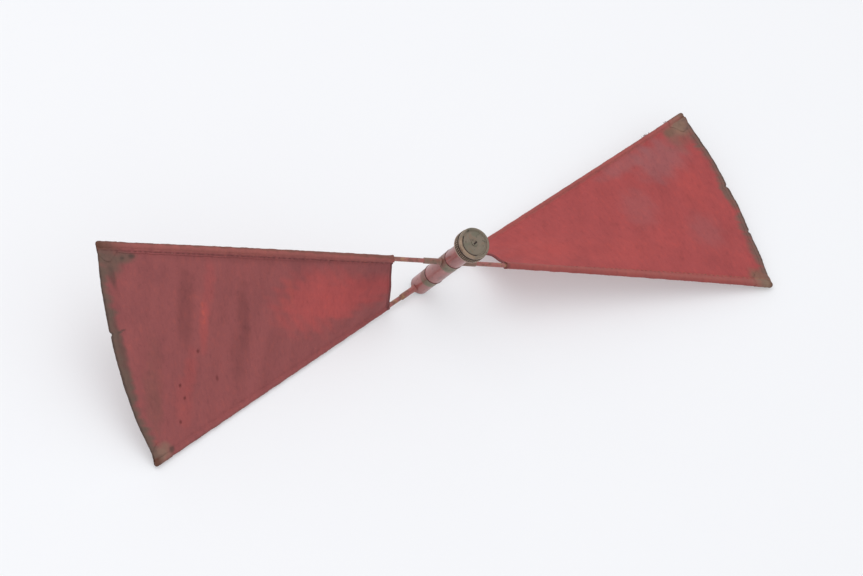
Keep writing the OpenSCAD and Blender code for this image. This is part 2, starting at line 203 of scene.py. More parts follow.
class Graph:
    """Node tree of one material: a Principled shader and what feeds it."""

    def __init__(self, name: str) -> None:
        """Makes the material and its shader.

        Args:
            name: Name of the material.
        """
        self.material = bpy.data.materials.new(name)
        self.material.use_nodes = True
        self.tree = self.material.node_tree
        self.tree.nodes.clear()
        self.shader = self.tree.nodes.new("ShaderNodeBsdfPrincipled")
        output = self.tree.nodes.new("ShaderNodeOutputMaterial")
        self.tree.links.new(self.shader.outputs[0], output.inputs[0])

    def plug(self, socket: bpy.types.NodeSocket, value: object) -> None:
        """Links a socket to a value's output, or sets it to a plain number or colour.

        Args:
            socket: Input socket.
            value: A Value, a number, a vector or a colour.
        """
        if isinstance(value, Value):
            self.tree.links.new(value.socket, socket)
        elif socket.type == "RGBA":
            socket.default_value = (*value, 1.0)
        else:
            socket.default_value = value

    def node(self, kind: str, settings: dict[str, object], inputs: dict, output: int = 0) -> Value:
        """Adds any node: its settings first, then its sockets.

        Args:
            kind: Blender's name of the node type.
            settings: Properties of the node.
            inputs: Values by socket name or number.
            output: Number of the output that is wanted.

        Returns:
            The chosen output.
        """
        made = self.tree.nodes.new(kind)
        for name, setting in settings.items():
            setattr(made, name, setting)
        for key, value in inputs.items():
            self.plug(made.inputs[key], value)
        return Value(self, made.outputs[output])

    def place(self, turn: Sequence[float] = (0, 0, 0)) -> Value:
        """Object coordinates, turned.

        Args:
            turn: Euler angles of the turn.

        Returns:
            The coordinates.
        """
        spot = self.node("ShaderNodeTexCoord", {}, {}, output=3)
        if any(turn):
            spot = self.node("ShaderNodeMapping", {}, {"Vector": spot, "Rotation": turn})
        return spot

    def scaled(self, vector: Value, stretch: Sequence[float]) -> Value:
        """A vector scaled by its own factor on each axis.

        Args:
            vector: The vector.
            stretch: Factor for each axis.

        Returns:
            The scaled vector.
        """
        if tuple(stretch) == (1, 1, 1):
            return vector
        return self.node("ShaderNodeVectorMath", {"operation": "MULTIPLY"}, {0: vector, 1: stretch})

    def noise(self, vector: Value, scale: float, detail: float = 3.0, rough: float = 0.55) -> Value:
        """Fractal noise between 0 and 1.

        Args:
            vector: Where the noise is read.
            scale: Patches per metre.
            detail: Octaves.
            rough: Share of each finer octave.

        Returns:
            The noise.
        """
        inputs = {"Vector": vector, "Scale": scale, "Detail": detail, "Roughness": rough}
        return self.node("ShaderNodeTexNoise", {}, inputs)

    def step(self, value: Value, low: float, high: float) -> Value:
        """Soft step from 0 at low to 1 at high; low above high turns it round.

        Args:
            value: What the step is taken of.
            low: Where the step is 0.
            high: Where the step is 1.

        Returns:
            The step's height.
        """
        inputs = {0: value, 1: min(low, high), 2: max(low, high)}
        rising = {3: 0.0, 4: 1.0} if low < high else {3: 1.0, 4: 0.0}
        settings = {"interpolation_type": "SMOOTHSTEP"}
        return self.node("ShaderNodeMapRange", settings, inputs | rising)

    def mix(self, factor: Number, first: object, second: object, blend: str = "MIX") -> Value:
        """Colour between two colours.

        Args:
            factor: Share of the second colour.
            first: First colour.
            second: Second colour.
            blend: How the second colour acts on the first.

        Returns:
            The mixed colour.
        """
        settings = {"data_type": "RGBA", "blend_type": blend}
        return self.node("ShaderNodeMix", settings, {0: factor, 6: first, 7: second}, output=2)

    def bump(self, height: Value, depth: float, under: "Value | None" = None) -> Value:
        """Surface relief.

        Args:
            height: Height between 0 and 1.
            depth: Real depth of the full height.
            under: Coarser relief that this one lies on.

        Returns:
            The bent normal.
        """
        inputs = {"Height": height, "Distance": depth, "Strength": 1.0}
        if under is not None:
            inputs["Normal"] = under
        return self.node("ShaderNodeBump", {}, inputs)

    def feed(self, **inputs: object) -> bpy.types.Material:
        """Feeds the shader's sockets and returns the material.

        Args:
            inputs: Values by socket name, with _ for a blank.

        Returns:
            The finished material.
        """
        for name, value in inputs.items():
            self.plug(self.shader.inputs[name.replace("_", " ")], value)
        return self.material


@dataclass(frozen=True)
class Patches:
    """Irregular patches of one colour over a surface."""

    colour: Colour
    scale: float
    low: float
    high: float
    amount: float = 1.0
    stretch: tuple[float, float, float] = (1.0, 1.0, 1.0)
    rough: float = 0.0


@dataclass(frozen=True)
class Finish:
    """A finish: ground colour, patches of other colours, roughness and fine relief.

    cover is a pinkish colour painted on the side that faces the hub's +Y, a painted reflection.
    """

    name: str
    ground: Colour
    patches: tuple[Patches, ...]
    roughness: float
    metal: float = 0.0
    coat: float = 0.0
    grain: float = 900.0
    grain_depth: float = 0.00004
    dents: float = 60.0
    dent_depth: float = 0.0003
    # cover and the three settings below it: a painted reflection on the side that faces the hub's +Y
    cover: Colour | None = None
    painted_reflection_amount: float = 0.8
    painted_reflection_edge: float = 3.0 * MM
    painted_reflection_wander: float = 12.0 * MM
    fine_roughness: float = 0.12

    @cache
    def make(self, turn: Sequence[float]) -> bpy.types.Material:
        """Builds the material, once for each finish.

        Args:
            turn: Euler angles that turn the row's axes to the hub's.

        Returns:
            The material.
        """
        graph = Graph(self.name)
        spot = graph.place(turn)
        colour, rough = self.ground, self.roughness
        for patch in self.patches:
            noise = graph.noise(graph.scaled(spot, patch.stretch), patch.scale, detail=5.0, rough=0.6)
            share = graph.step(noise, patch.low, patch.high) * patch.amount
            colour = graph.mix(share, colour, patch.colour)
            if patch.rough:
                rough = share * patch.rough + rough
        # Painted reflection: the cover colour laid over the side that faces the hub's +Y.
        if self.cover is not None:
            beside = graph.node("ShaderNodeSeparateXYZ", {}, {"Vector": spot}, output=1)
            beside = (graph.noise(spot, scale=150.0) - 0.5) * self.painted_reflection_wander + beside
            share = graph.step(beside, -self.painted_reflection_edge, self.painted_reflection_edge) * self.painted_reflection_amount
            colour = graph.mix(share, colour, self.cover)
        fine = graph.noise(spot, self.grain, detail=2.0)
        relief = graph.bump(graph.noise(spot, self.dents), self.dent_depth)
        relief = graph.bump(fine, self.grain_depth, relief)
        rough = (fine - 0.5) * self.fine_roughness + rough
        return graph.feed(
            Base_Color=colour, Roughness=rough, Metallic=self.metal, Normal=relief,
            Coat_Weight=self.coat, Coat_Roughness=0.18,
        )


@dataclass(frozen=True)
class ClothFinish:
    """Oiled signal cloth: a painted dye, cloudy fading, soft streaks, weave and creases."""

    name: str
    roughness: float = 0.78
    gloss: float = 0.25
    thread: float = 0.0009
    weave_depth: float = 0.00008
    pucker_depth: float = 0.00014
    crease_depth: float = 0.0004

    def make(self) -> bpy.types.Material:
        """Builds the material, which reads the cloth's UV map and its dye attribute.

        Returns:
            The material.
        """
        graph = Graph(self.name)
        cloth = graph.node("ShaderNodeUVMap", {"uv_map": "cloth"}, {})
        colour = graph.node("ShaderNodeAttribute", {"attribute_name": "dye"}, {}, output=0)

        def pattern(scale: float, detail: float, rough: float, squash: float = 1.0) -> Value:
            """Noise on the cloth, drawn out across the wing by a squash under 1."""
            return graph.noise(graph.scaled(cloth, (1.0, squash, 1.0)), scale, detail, rough)

        clouds = pattern(13.0, 4.0, 0.55)
        blots = pattern(62.0, 5.0, 0.62, 0.6)
        streaks = pattern(250.0, 3.0, 0.6, 0.22)
        mottle = pattern(180.0, 3.0, 0.6, 0.5)
        fleck = pattern(330.0, 3.0, 0.7)
        stains = (
            (clouds, 0.5, 0.7, 0.5, (0.8, 0.84, 0.87)),
            (clouds, 0.48, 0.3, 0.5, (1.13, 1.05, 1.03)),
            (streaks, 0.5, 0.68, 0.2, (0.84, 0.8, 0.8)),
            (streaks, 0.46, 0.32, 0.2, (1.16, 1.1, 1.0)),
            (blots, 0.54, 0.7, 0.45, (0.8, 0.83, 0.84)),
            (blots, 0.44, 0.3, 0.45, (1.18, 1.05, 1.0)),
            (mottle, 0.52, 0.7, 0.35, (1.22, 1.1, 0.98)),
            (mottle, 0.46, 0.32, 0.4, (0.8, 0.8, 0.82)),
            (fleck, 0.6, 0.74, 0.5, (0.66, 0.6, 0.6)),
            (fleck, 0.4, 0.28, 0.45, (1.3, 1.35, 1.3)),
        )
        for noise, low, high, amount, tint in stains:
            colour = graph.mix(graph.step(noise, low, high) * amount, colour, tint, "MULTIPLY")
        weave = self.threads(graph, cloth, "X") * 0.5 + self.threads(graph, cloth, "Y") * 0.5
        relief = graph.bump(pattern(40.0, 4.0, 0.55, 0.35), self.crease_depth)
        relief = graph.bump(pattern(260.0, 3.0, 0.55), self.pucker_depth, relief)
        relief = graph.bump(weave, self.weave_depth, relief)
        rough = (blots - 0.5) * 0.2 + self.roughness
        return graph.feed(
            Base_Color=colour, Roughness=rough, Normal=relief, Specular_IOR_Level=self.gloss,
        )

    def threads(self, graph: Graph, cloth: Value, axis: str) -> Value:
        """Wave of the threads that lie across one axis of the cloth.

        Args:
            graph: The material's graph.
            cloth: Cloth coordinates in metres.
            axis: X or Y.

        Returns:
            Wave between 0 and 1.
        """
        settings = {"wave_type": "BANDS", "bands_direction": axis}
        scale = 2 * math.pi / (20 * self.thread)
        inputs = {"Vector": cloth, "Scale": scale, "Distortion": 0.6, "Detail": 1.0}
        return graph.node("ShaderNodeTexWave", settings, inputs, output=1)


# ---------------------------------------------------------------- measuring the frame


@dataclass(frozen=True)
class HubFrame:
    """The hub's upright axes in the row's frame; both share their origin."""

    x: Vector
    y: Vector
    z: Vector

    @classmethod
    def from_joint(cls, name: str) -> "HubFrame":
        """Axes of the hub from the joint that turns about it.

        Args:
            name: Name of the joint.

        Returns:
            The hub's frame.
        """
        joint = next(j for j in frame["joints"] if j["name"] == name)
        z = Vector(joint["axis"]).normalized()
        x = Vector((z.z, 0.0, -z.x)).normalized()
        return cls(x, z.cross(x), z)

    @property
    def axes(self) -> np.ndarray:
        """The three axes as the rows of a matrix."""
        return np.array((self.x, self.y, self.z))

    @property
    def turn(self) -> tuple[float, float, float]:
        """Euler angles of a Mapping node that turns row coordinates to hub coordinates."""
        return tuple(Matrix((self.x, self.y, self.z)).to_euler())

    def to_row(self, points: np.ndarray) -> np.ndarray:
        """Row coordinates of points in hub coordinates."""
        return points @ self.axes

    def vertices(self, node: str) -> np.ndarray:
        """Vertices of a CAD node in hub coordinates.

        Args:
            node: Name of the node.

        Returns:
            One row for each vertex.
        """
        mesh = frame["nodes"][node].data
        flat = np.empty(len(mesh.vertices) * 3, np.float32)
        mesh.vertices.foreach_get("co", flat)
        return flat.reshape(-1, 3).astype(float) @ self.axes.T

    def height(self, node: str) -> tuple[float, float]:
        """Lowest and highest point of a CAD node along the hub."""
        heights = self.vertices(node)[:, 2]
        return float(heights.min()), float(heights.max())

    def radius(self, node: str) -> float:
        """Largest distance of a CAD node from the hub's axis."""
        return float(np.hypot(*self.vertices(node)[:, :2].T).max())


@dataclass(frozen=True)
class RodLine:
    """Centre-line of one rod: straight out of the hub, then bowed towards the other arm."""

    side: Side
    level: Level
    azimuth: float
    height: float
    bend_start: float
    cloth_start: float
    reach: float
    bow: float

    @classmethod
    def from_nodes(cls, hub: HubFrame, side: Side, level: Level) -> "RodLine":
        """Measures the line on the CAD nodes.

        Args:
            hub: The hub's frame.
            side: Left or right.
            level: Upper or lower arm.

        Returns:
            The rod's line.
        """
        name, tip_share, straight_run = f"{level.value}_{side.value}", 0.98, 1.5 * MM
        rod = hub.vertices(f"{name}_rod")
        distance = np.hypot(rod[:, 0], rod[:, 1])
        tip = rod[distance > tip_share * distance.max()].mean(axis=0)
        azimuth = math.atan2(tip[1], tip[0])
        out = np.array((math.cos(azimuth), math.sin(azimuth), 0.0))
        pocket = hub.vertices(f"{name}_pocket")
        along = pocket @ out
        mouth = pocket[along < along.min() + MM][:, 2]
        radius = (mouth.max() - mouth.min()) / 2
        low, high = hub.height(f"{name}_ferrule")
        height = (low + high) / 2
        extreme = pocket[:, 2].max() if level is Level.LOWER else pocket[:, 2].min()
        bow = abs(extreme - height) - radius
        ferrule_reach = float((hub.vertices(f"{name}_ferrule") @ out).max())
        straight_end = ferrule_reach + straight_run
        start, end = float(along.min()), float(along.max())
        return cls(side, level, azimuth, height, straight_end, start, end, float(bow))

    @property
    def name(self) -> str:
        """Name that the rod's pieces start with."""
        return f"{self.level.value}_{self.side.value}"

    def at(self, reach: np.ndarray) -> np.ndarray:
        """Points of the line in hub coordinates.

        Args:
            reach: Distances from the hub's axis.

        Returns:
            One row for each distance.
        """
        full = self.reach - self.bend_start
        arc = (full**2 + self.bow**2) / (2 * self.bow)
        run = np.maximum(reach - self.bend_start, 0)
        rise = arc - np.sqrt(arc**2 - run**2)
        return np.stack(
            (
                reach * math.cos(self.azimuth),
                reach * math.sin(self.azimuth),
                self.height + self.level.turn * rise,
            ),
            axis=1,
        )


@dataclass(frozen=True)
class Dab:
    """A soft-edged dab of colour at a place on the cloth; most are dye and wear, some are painted light
    and shade.

    reach is the distance from the hub's axis, share the way from the upper to the lower rod.
    """

    reach: float
    share: float
    long: float
    wide: float
    colour: Colour
    amount: float = 1.0
    lean: float = 0.0

    def cover(self, out: np.ndarray, down: np.ndarray, ragged: np.ndarray) -> np.ndarray:
        """Cover of the dab around its middle.

        Args:
            out: Distance out along the wing.
            down: Distance down from the upper rod.
            ragged: Wave that makes the edge uneven.

        Returns:
            The cover at each point.
        """
        cos, sin = math.cos(math.radians(self.lean)), math.sin(math.radians(self.lean))
        along, across = (out * cos + down * sin) / self.long, (down * cos - out * sin) / self.wide
        away = np.hypot(along, across) + ragged * 0.35
        return self.amount * (1 - smooth(away, 0.35, 1.15))


@dataclass(frozen=True)
class ClothShape:
    """The surface that a wing, its hems and its pockets all follow."""

    hub: HubFrame
    side: Side
    upper: RodLine
    lower: RodLine
    crown: float
    hollow: float
    seed: int
    notches: tuple[float, ...] = ()
    notch_depth: float = 2.6 * MM
    notch_width: float = 0.008
    margin: float = 5.6 * MM
    nudge: float = 0.5 * MM
    sag: float = 0.9 * MM
    twist: float = 0.6 * MM
    folds: float = 0.16 * MM
    upper_pucker: float = 0.32 * MM
    lower_pucker: float = 0.25 * MM
    pucker_depth: float = 11 * MM
    rim_wave: float = 0.35 * MM
    crest: float = 1.9 * MM
    crest_depth: float = 35 * MM

    def span(self, reach: np.ndarray) -> np.ndarray:
        """Distance between the two rods' centre-lines at each reach."""
        return np.linalg.norm(self.lower.at(reach) - self.upper.at(reach), axis=1)

    def inner(self, share: np.ndarray) -> np.ndarray:
        """Reach of the cloth's inner edge."""
        first, last = self.upper.cloth_start, self.lower.cloth_start
        return first + (last - first) * share + self.hollow * 4 * share * (1 - share)

    def outer(self, share: np.ndarray) -> np.ndarray:
        """Reach of the cloth's outer edge, a little ragged and notched.

        Args:
            share: Way from the upper to the lower rod.

        Returns:
            The reach for each share.
        """
        first, last = self.upper.reach, self.lower.reach
        ragged = 0.2 * MM * ripple(share * 9, self.seed)
        ragged += 0.1 * MM * ripple(share * 30, self.seed + 1)
        for notch in self.notches:
            ragged -= self.notch_depth * np.exp(-(((share - notch) / self.notch_width) ** 2))
        belly = 4 * share * (1 - share)
        return first + (last - first) * share + self.crown * belly + ragged * np.minimum(1, 3 * belly)

    def relief(self, reach: np.ndarray, share: np.ndarray) -> np.ndarray:
        """Height of the cloth's sag, folds and puckers over the straight-line surface.

        Args:
            reach: Distance from the hub's axis.
            share: Way from the upper to the lower rod.

        Returns:
            The height at each point.
        """
        span, seed = self.span(reach), self.seed
        from_upper, from_lower = share * span, (1 - share) * span
        nearest = np.minimum(from_upper, from_lower)
        free = smooth(nearest, 6 * MM, 45 * MM)
        waves = self.sag * ripple(reach / 0.1 - 0.8 * share, seed + 2)
        waves += self.twist * ripple(share * 2.1 + reach * 2.5, seed + 4)
        waves += self.folds * ripple(reach / 0.036 - 1.7 * share, seed + 3)
        upper = self.upper_pucker * ripple(reach / 0.0125, seed + 5)
        lower = self.lower_pucker * ripple(reach / 0.014, seed + 6)
        pucker = upper * np.exp(-from_upper / self.pucker_depth)
        pucker += lower * np.exp(-from_lower / self.pucker_depth)
        rim = self.rim_wave * ripple(share * 5, seed + 7) * smooth(reach, 0.42, 0.5)
        crest = self.crest * smooth(from_lower, 3.1 * MM, 6.5 * MM)
        crest *= np.exp(-from_lower / self.crest_depth)
        return (waves + rim) * free + pucker * smooth(nearest, 5 * MM, 9 * MM) + crest

    def point(self, reach: np.ndarray, share: np.ndarray, lift: np.ndarray | float = 0.0) -> np.ndarray:
        """Points on the cloth in the row's frame.

        Args:
            reach: Distance from the hub's axis.
            share: Way from the upper to the lower rod.
            lift: Height over the middle of the cloth, towards the knob.

        Returns:
            The points.
        """
        upper, lower = self.upper.at(reach), self.lower.at(reach)
        ahead = self.straight(reach + self.nudge, share) - self.straight(reach - self.nudge, share)
        normal = np.cross(upper - lower, ahead)
        normal /= np.linalg.norm(normal, axis=1)[:, None]
        rise = lift + self.relief(reach, share)
        return self.hub.to_row(self.straight(reach, share) + normal * rise[:, None])

    def straight(self, reach: np.ndarray, share: np.ndarray) -> np.ndarray:
        """Points on the straight lines between the rods, in hub coordinates."""
        upper = self.upper.at(reach)
        return upper + (self.lower.at(reach) - upper) * share[:, None]

    def beside(
        self, rod: RodLine, reach: np.ndarray, depth: np.ndarray, lift: np.ndarray
    ) -> np.ndarray:
        """Points beside one rod in the row's frame; the section across the rod stays true.

        Args:
            rod: Upper or lower rod of this side.
            reach: Distance from the hub's axis.
            depth: Distance from the rod's centre-line, square to the rod, into the cloth.
            lift: Height over the cloth, towards the knob.

        Returns:
            The points.
        """
        centre = rod.at(reach)
        other = self.lower if rod.level is Level.UPPER else self.upper
        into = other.at(reach) - centre
        into /= np.linalg.norm(into, axis=1)[:, None]
        ahead = rod.at(reach + self.nudge) - rod.at(reach - self.nudge)
        ahead /= np.linalg.norm(ahead, axis=1)[:, None]
        slant = np.linalg.norm(np.cross(into, ahead), axis=1)
        normal = np.cross(into, ahead)
        normal *= np.sign(normal[:, 2])[:, None] / slant[:, None]
        away = depth / slant
        share = np.clip(away / self.span(reach), 0, 1)
        if rod.level is Level.LOWER:
            share = 1 - share
        rise = lift + self.relief(reach, share)
        return self.hub.to_row(centre + into * away[:, None] + normal * rise[:, None])


# ---------------------------------------------------------------- modelling helpers


def deselect() -> None:
    """Leaves edit mode and deselects every object."""
    if bpy.context.object is not None and bpy.context.object.mode != "OBJECT":
        bpy.ops.object.mode_set(mode="OBJECT")
    bpy.ops.object.select_all(action="DESELECT")


def activate(piece: bpy.types.Object) -> None:
    """Makes one piece the only selected one and the active one.

    Args:
        piece: The piece.
    """
    deselect()
    piece.select_set(True)
    bpy.context.view_layer.objects.active = piece


def finish_with(piece: bpy.types.Object, kind: str, **settings: object) -> None:
    """Adds a modifier to a piece and applies it.

    Args:
        piece: The piece.
        kind: Blender's name of the modifier type.
        settings: The modifier's properties.
    """
    activate(piece)
    modifier = piece.modifiers.new(kind.title(), kind)
    for name, value in settings.items():
        setattr(modifier, name, value)
    bpy.ops.object.modifier_apply(modifier=modifier.name)


def round_off(piece: bpy.types.Object, degrees: float = 35.0) -> None:
    """Shades a piece smooth wherever its faces meet flatter than an angle."""
    activate(piece)
    bpy.ops.object.shade_smooth_by_angle(angle=math.radians(degrees))


def dress(piece: bpy.types.Object, material: bpy.types.Material) -> None:
    """Gives a piece its material.

    Args:
        piece: The piece.
        material: The material.
    """
    piece.data.materials.clear()
    piece.data.materials.append(material)


def attribute(piece: bpy.types.Object, name: str, colours: np.ndarray) -> None:
    """Stores one colour for each vertex of a piece.

    Args:
        piece: The piece.
        name: Name of the attribute.
        colours: One linear colour for each vertex.
    """
    layer = piece.data.attributes.new(name, "FLOAT_COLOR", "POINT")
    full = np.ones((len(colours), 4), np.float32)
    full[:, :3] = colours
    layer.data.foreach_set("color", full.ravel())


@dataclass(frozen=True)
class SheetCut:
    """A rectangular net of cloth cells that is laid onto a surface and given its thickness."""

    name: str
    cells: tuple[int, int]
    thickness: float

    def lay(self, fill: Fill) -> bpy.types.Object:
        """Builds the sheet.

        Args:
            fill: Gives points, cloth coordinates in metres and the dye's colours for shares from
                0 to 1 along both sides of the net.

        Returns:
            The finished piece.
        """
        deselect()
        columns, rows = self.cells
        bpy.ops.mesh.primitive_grid_add(x_subdivisions=columns, y_subdivisions=rows, size=1.0)
        piece = bpy.context.object
        piece.name = piece.data.name = self.name
        flat = np.empty(len(piece.data.vertices) * 3, np.float32)
        piece.data.vertices.foreach_get("co", flat)
        s, t = (flat.reshape(-1, 3).astype(float)[:, :2] + 0.5).T
        points, cloth, dye = fill(s, t)
        piece.data.vertices.foreach_set("co", points.astype(np.float32).ravel())
        attribute(piece, "dye", dye)
        corner = np.empty(len(piece.data.loops), np.int32)
        piece.data.loops.foreach_get("vertex_index", corner)
        layer = piece.data.uv_layers.active
        layer.name = "cloth"
        layer.data.foreach_set("uv", cloth[corner].astype(np.float32).ravel())
        piece.data.update()
        finish_with(piece, "SOLIDIFY", thickness=self.thickness, offset=0.0)
        activate(piece)
        bpy.ops.object.mode_set(mode="EDIT")
        bpy.ops.mesh.select_all(action="SELECT")
        bpy.ops.mesh.normals_make_consistent(inside=False)
        bpy.ops.object.mode_set(mode="OBJECT")
        round_off(piece, 60.0)
        return piece


# ---------------------------------------------------------------- cloth


@dataclass(frozen=True)
class Wing:
    """One cloth wing with its folded outer binding and its narrow inner hem."""

    shape: ClothShape
    ground: Colour
    dabs: tuple[Dab, ...]
    # bands: strength of the painted light and shade of the folds
    bands: float
    binding_width: float
    edge_depth: float
    edge_colour: Colour
    cells: tuple[int, int] = (240, 150)
    cloth_thickness: float = 0.9 * MM
    hem_width: float = 5.0 * MM
    strip_thickness: float = 0.4 * MM
    strip_flat: float = 0.42
    strip_cells: tuple[int, int] = (24, 150)
    soil_amount: float = 0.95
    line_amount: float = 0.75
    edge_line: float = 3.0 * MM

    @property
    def name(self) -> str:
        """Name that the wing's pieces start with."""
        return self.shape.side.value

    def share_between_margins(self, reach: np.ndarray, t: np.ndarray) -> np.ndarray:
        """Way from rod to rod for a share of the way from margin to margin."""
        margin = self.shape.margin / self.shape.span(reach)
        return margin + t * (1 - 2 * margin)

    def build(self) -> bpy.types.Object:
        """Builds the wing's cloth.

        Returns:
            The cloth.
        """
        return SheetCut(f"{self.name}_wing_cloth", self.cells, self.cloth_thickness).lay(self.between)

    def between(self, s: np.ndarray, t: np.ndarray) -> Arrays:
        """Fills the cloth between the rods.

        Args:
            s: Share of the way from the inner to the outer edge.
            t: Share of the way from the upper to the lower margin.

        Returns:
            Points, cloth coordinates and dye.
        """
        first, last = self.shape.inner(t) + MM, self.shape.outer(t) - MM
        reach = first + (last - first) * s
        share = self.share_between_margins(reach, t)
        return self.shape.point(reach, share), self.measure(reach, share), self.dye(reach, share)

    def measure(self, reach: np.ndarray, share: np.ndarray) -> np.ndarray:
        """Cloth coordinates in metres: out along the wing, and down from the upper rod."""
        return np.stack((reach, (share - 0.5) * self.shape.span(reach)), axis=1)

    def dye(self, reach: np.ndarray, share: np.ndarray) -> np.ndarray:
        """Dye of the cloth: its ground with bands of painted light and shade from its folds, each dab in
        turn, then both soiled edges.

        Args:
            reach: Distance from the hub's axis.
            share: Way from the upper to the lower rod.

        Returns:
            One colour for each point.
        """
        shape, seed, span = self.shape, self.shape.seed, self.shape.span(reach)
        colours = np.tile(np.array(self.ground), (len(reach), 1))
        # Painted light and shade of the folds: lighter and darker bands across the wing.
        fold_light_and_shade = 0.7 * ripple(reach / 0.07 - 1.3 * share, seed + 22)
        fold_light_and_shade += 0.35 * ripple(reach / 0.026 - 3.2 * share, seed + 23)
        colours *= (1 + self.bands * fold_light_and_shade)[:, None]
        ragged = 0.25 * ripple(reach / 0.03 + share * 3, seed + 20)
        ragged += 0.2 * ripple(share * span / 0.02 + reach * 7, seed + 21)
        for dab in self.dabs:
            cover = dab.cover(reach - dab.reach, (share - dab.share) * span, ragged)
            colours = over(colours, dab.colour, cover)
        blotch = 0.2 * ripple(share * 4, seed + 24) + 0.16 * ripple(share * 13, seed + 25)
        blotch += 0.12 * ripple(share * 33 + reach / 0.02, seed + 26)
        from_outer, from_inner = shape.outer(share) - reach, reach - shape.inner(share)
        soiled = 1 - smooth(from_outer / self.edge_depth + blotch, 0.15, 1.25)
        colours = over(colours, self.edge_colour, self.soil_amount * soiled)
        line = 1 - smooth(from_outer + 2 * MM * blotch, 0.6 * MM, self.edge_line)
        colours = over(colours, EDGE_LINE, self.line_amount * line)
        line = 1 - smooth(from_inner, 1.5 * MM, self.hem_width)
        return np.clip(over(colours, HEM_LINE, self.line_amount * line), 0, 1)

    def strip(
        self, name: str, edge: Callable[[np.ndarray], np.ndarray], inward: int, width: float
    ) -> bpy.types.Object:
        """Strip of cloth folded over one edge of the wing.

        Args:
            name: Name of the piece.
            edge: Gives the edge's reach for a share of the way from rod to rod.
            inward: 1 if the cloth lies outside the edge's reach, -1 if inside it.
            width: How far the strip reaches onto the cloth on each face.

        Returns:
            The strip.
        """
        shape = self.shape
        half = self.cloth_thickness / 2 + self.strip_thickness / 2 + 0.05 * MM
        press, flat = 0.2 * MM, self.strip_flat

        def fill(s: np.ndarray, t: np.ndarray) -> Arrays:
            """Fills the strip.

            Args:
                s: Share of the way from the upper face round to the lower one.
                t: Share of the way from the upper to the lower margin.

            Returns:
                Points, cloth coordinates and dye.
            """
            theta = np.clip((s - flat) / (1 - 2 * flat), 0, 1) * math.pi
            run = np.clip(np.minimum(s, 1 - s) / flat, 0, 1)
            depth = np.where((s > flat) & (s < 1 - flat), -half * np.sin(theta), width * (1 - run))
            lift = (half - press * (1 - smooth(run, 0, 0.35))) * np.cos(theta)
            border = edge(t)
            share = self.share_between_margins(border, t)
            ragged = 0.15 * MM * ripple(t * 12, shape.seed + 30) * smooth(depth, width * 0.7, width)
            swell = 0.06 * MM * np.abs(ripple(t * 20 + depth / 0.02, shape.seed + 31))
            reach = border + inward * (depth + ragged)
            on_cloth = border + inward * np.maximum(depth, 0)
            points = shape.point(reach, share, lift + np.sign(lift) * swell)
            return points, self.measure(on_cloth, share), self.dye(on_cloth, share)

        return SheetCut(name, self.strip_cells, self.strip_thickness).lay(fill)

    def binding(self) -> bpy.types.Object:
        """Dark binding folded over the outer edge."""
        return self.strip(f"{self.name}_outer_binding", self.shape.outer, -1, self.binding_width)

    def inner_hem(self) -> bpy.types.Object:
        """Narrow hem folded over the inner edge."""
        return self.strip(f"{self.name}_inner_fold", self.shape.inner, 1, self.hem_width)


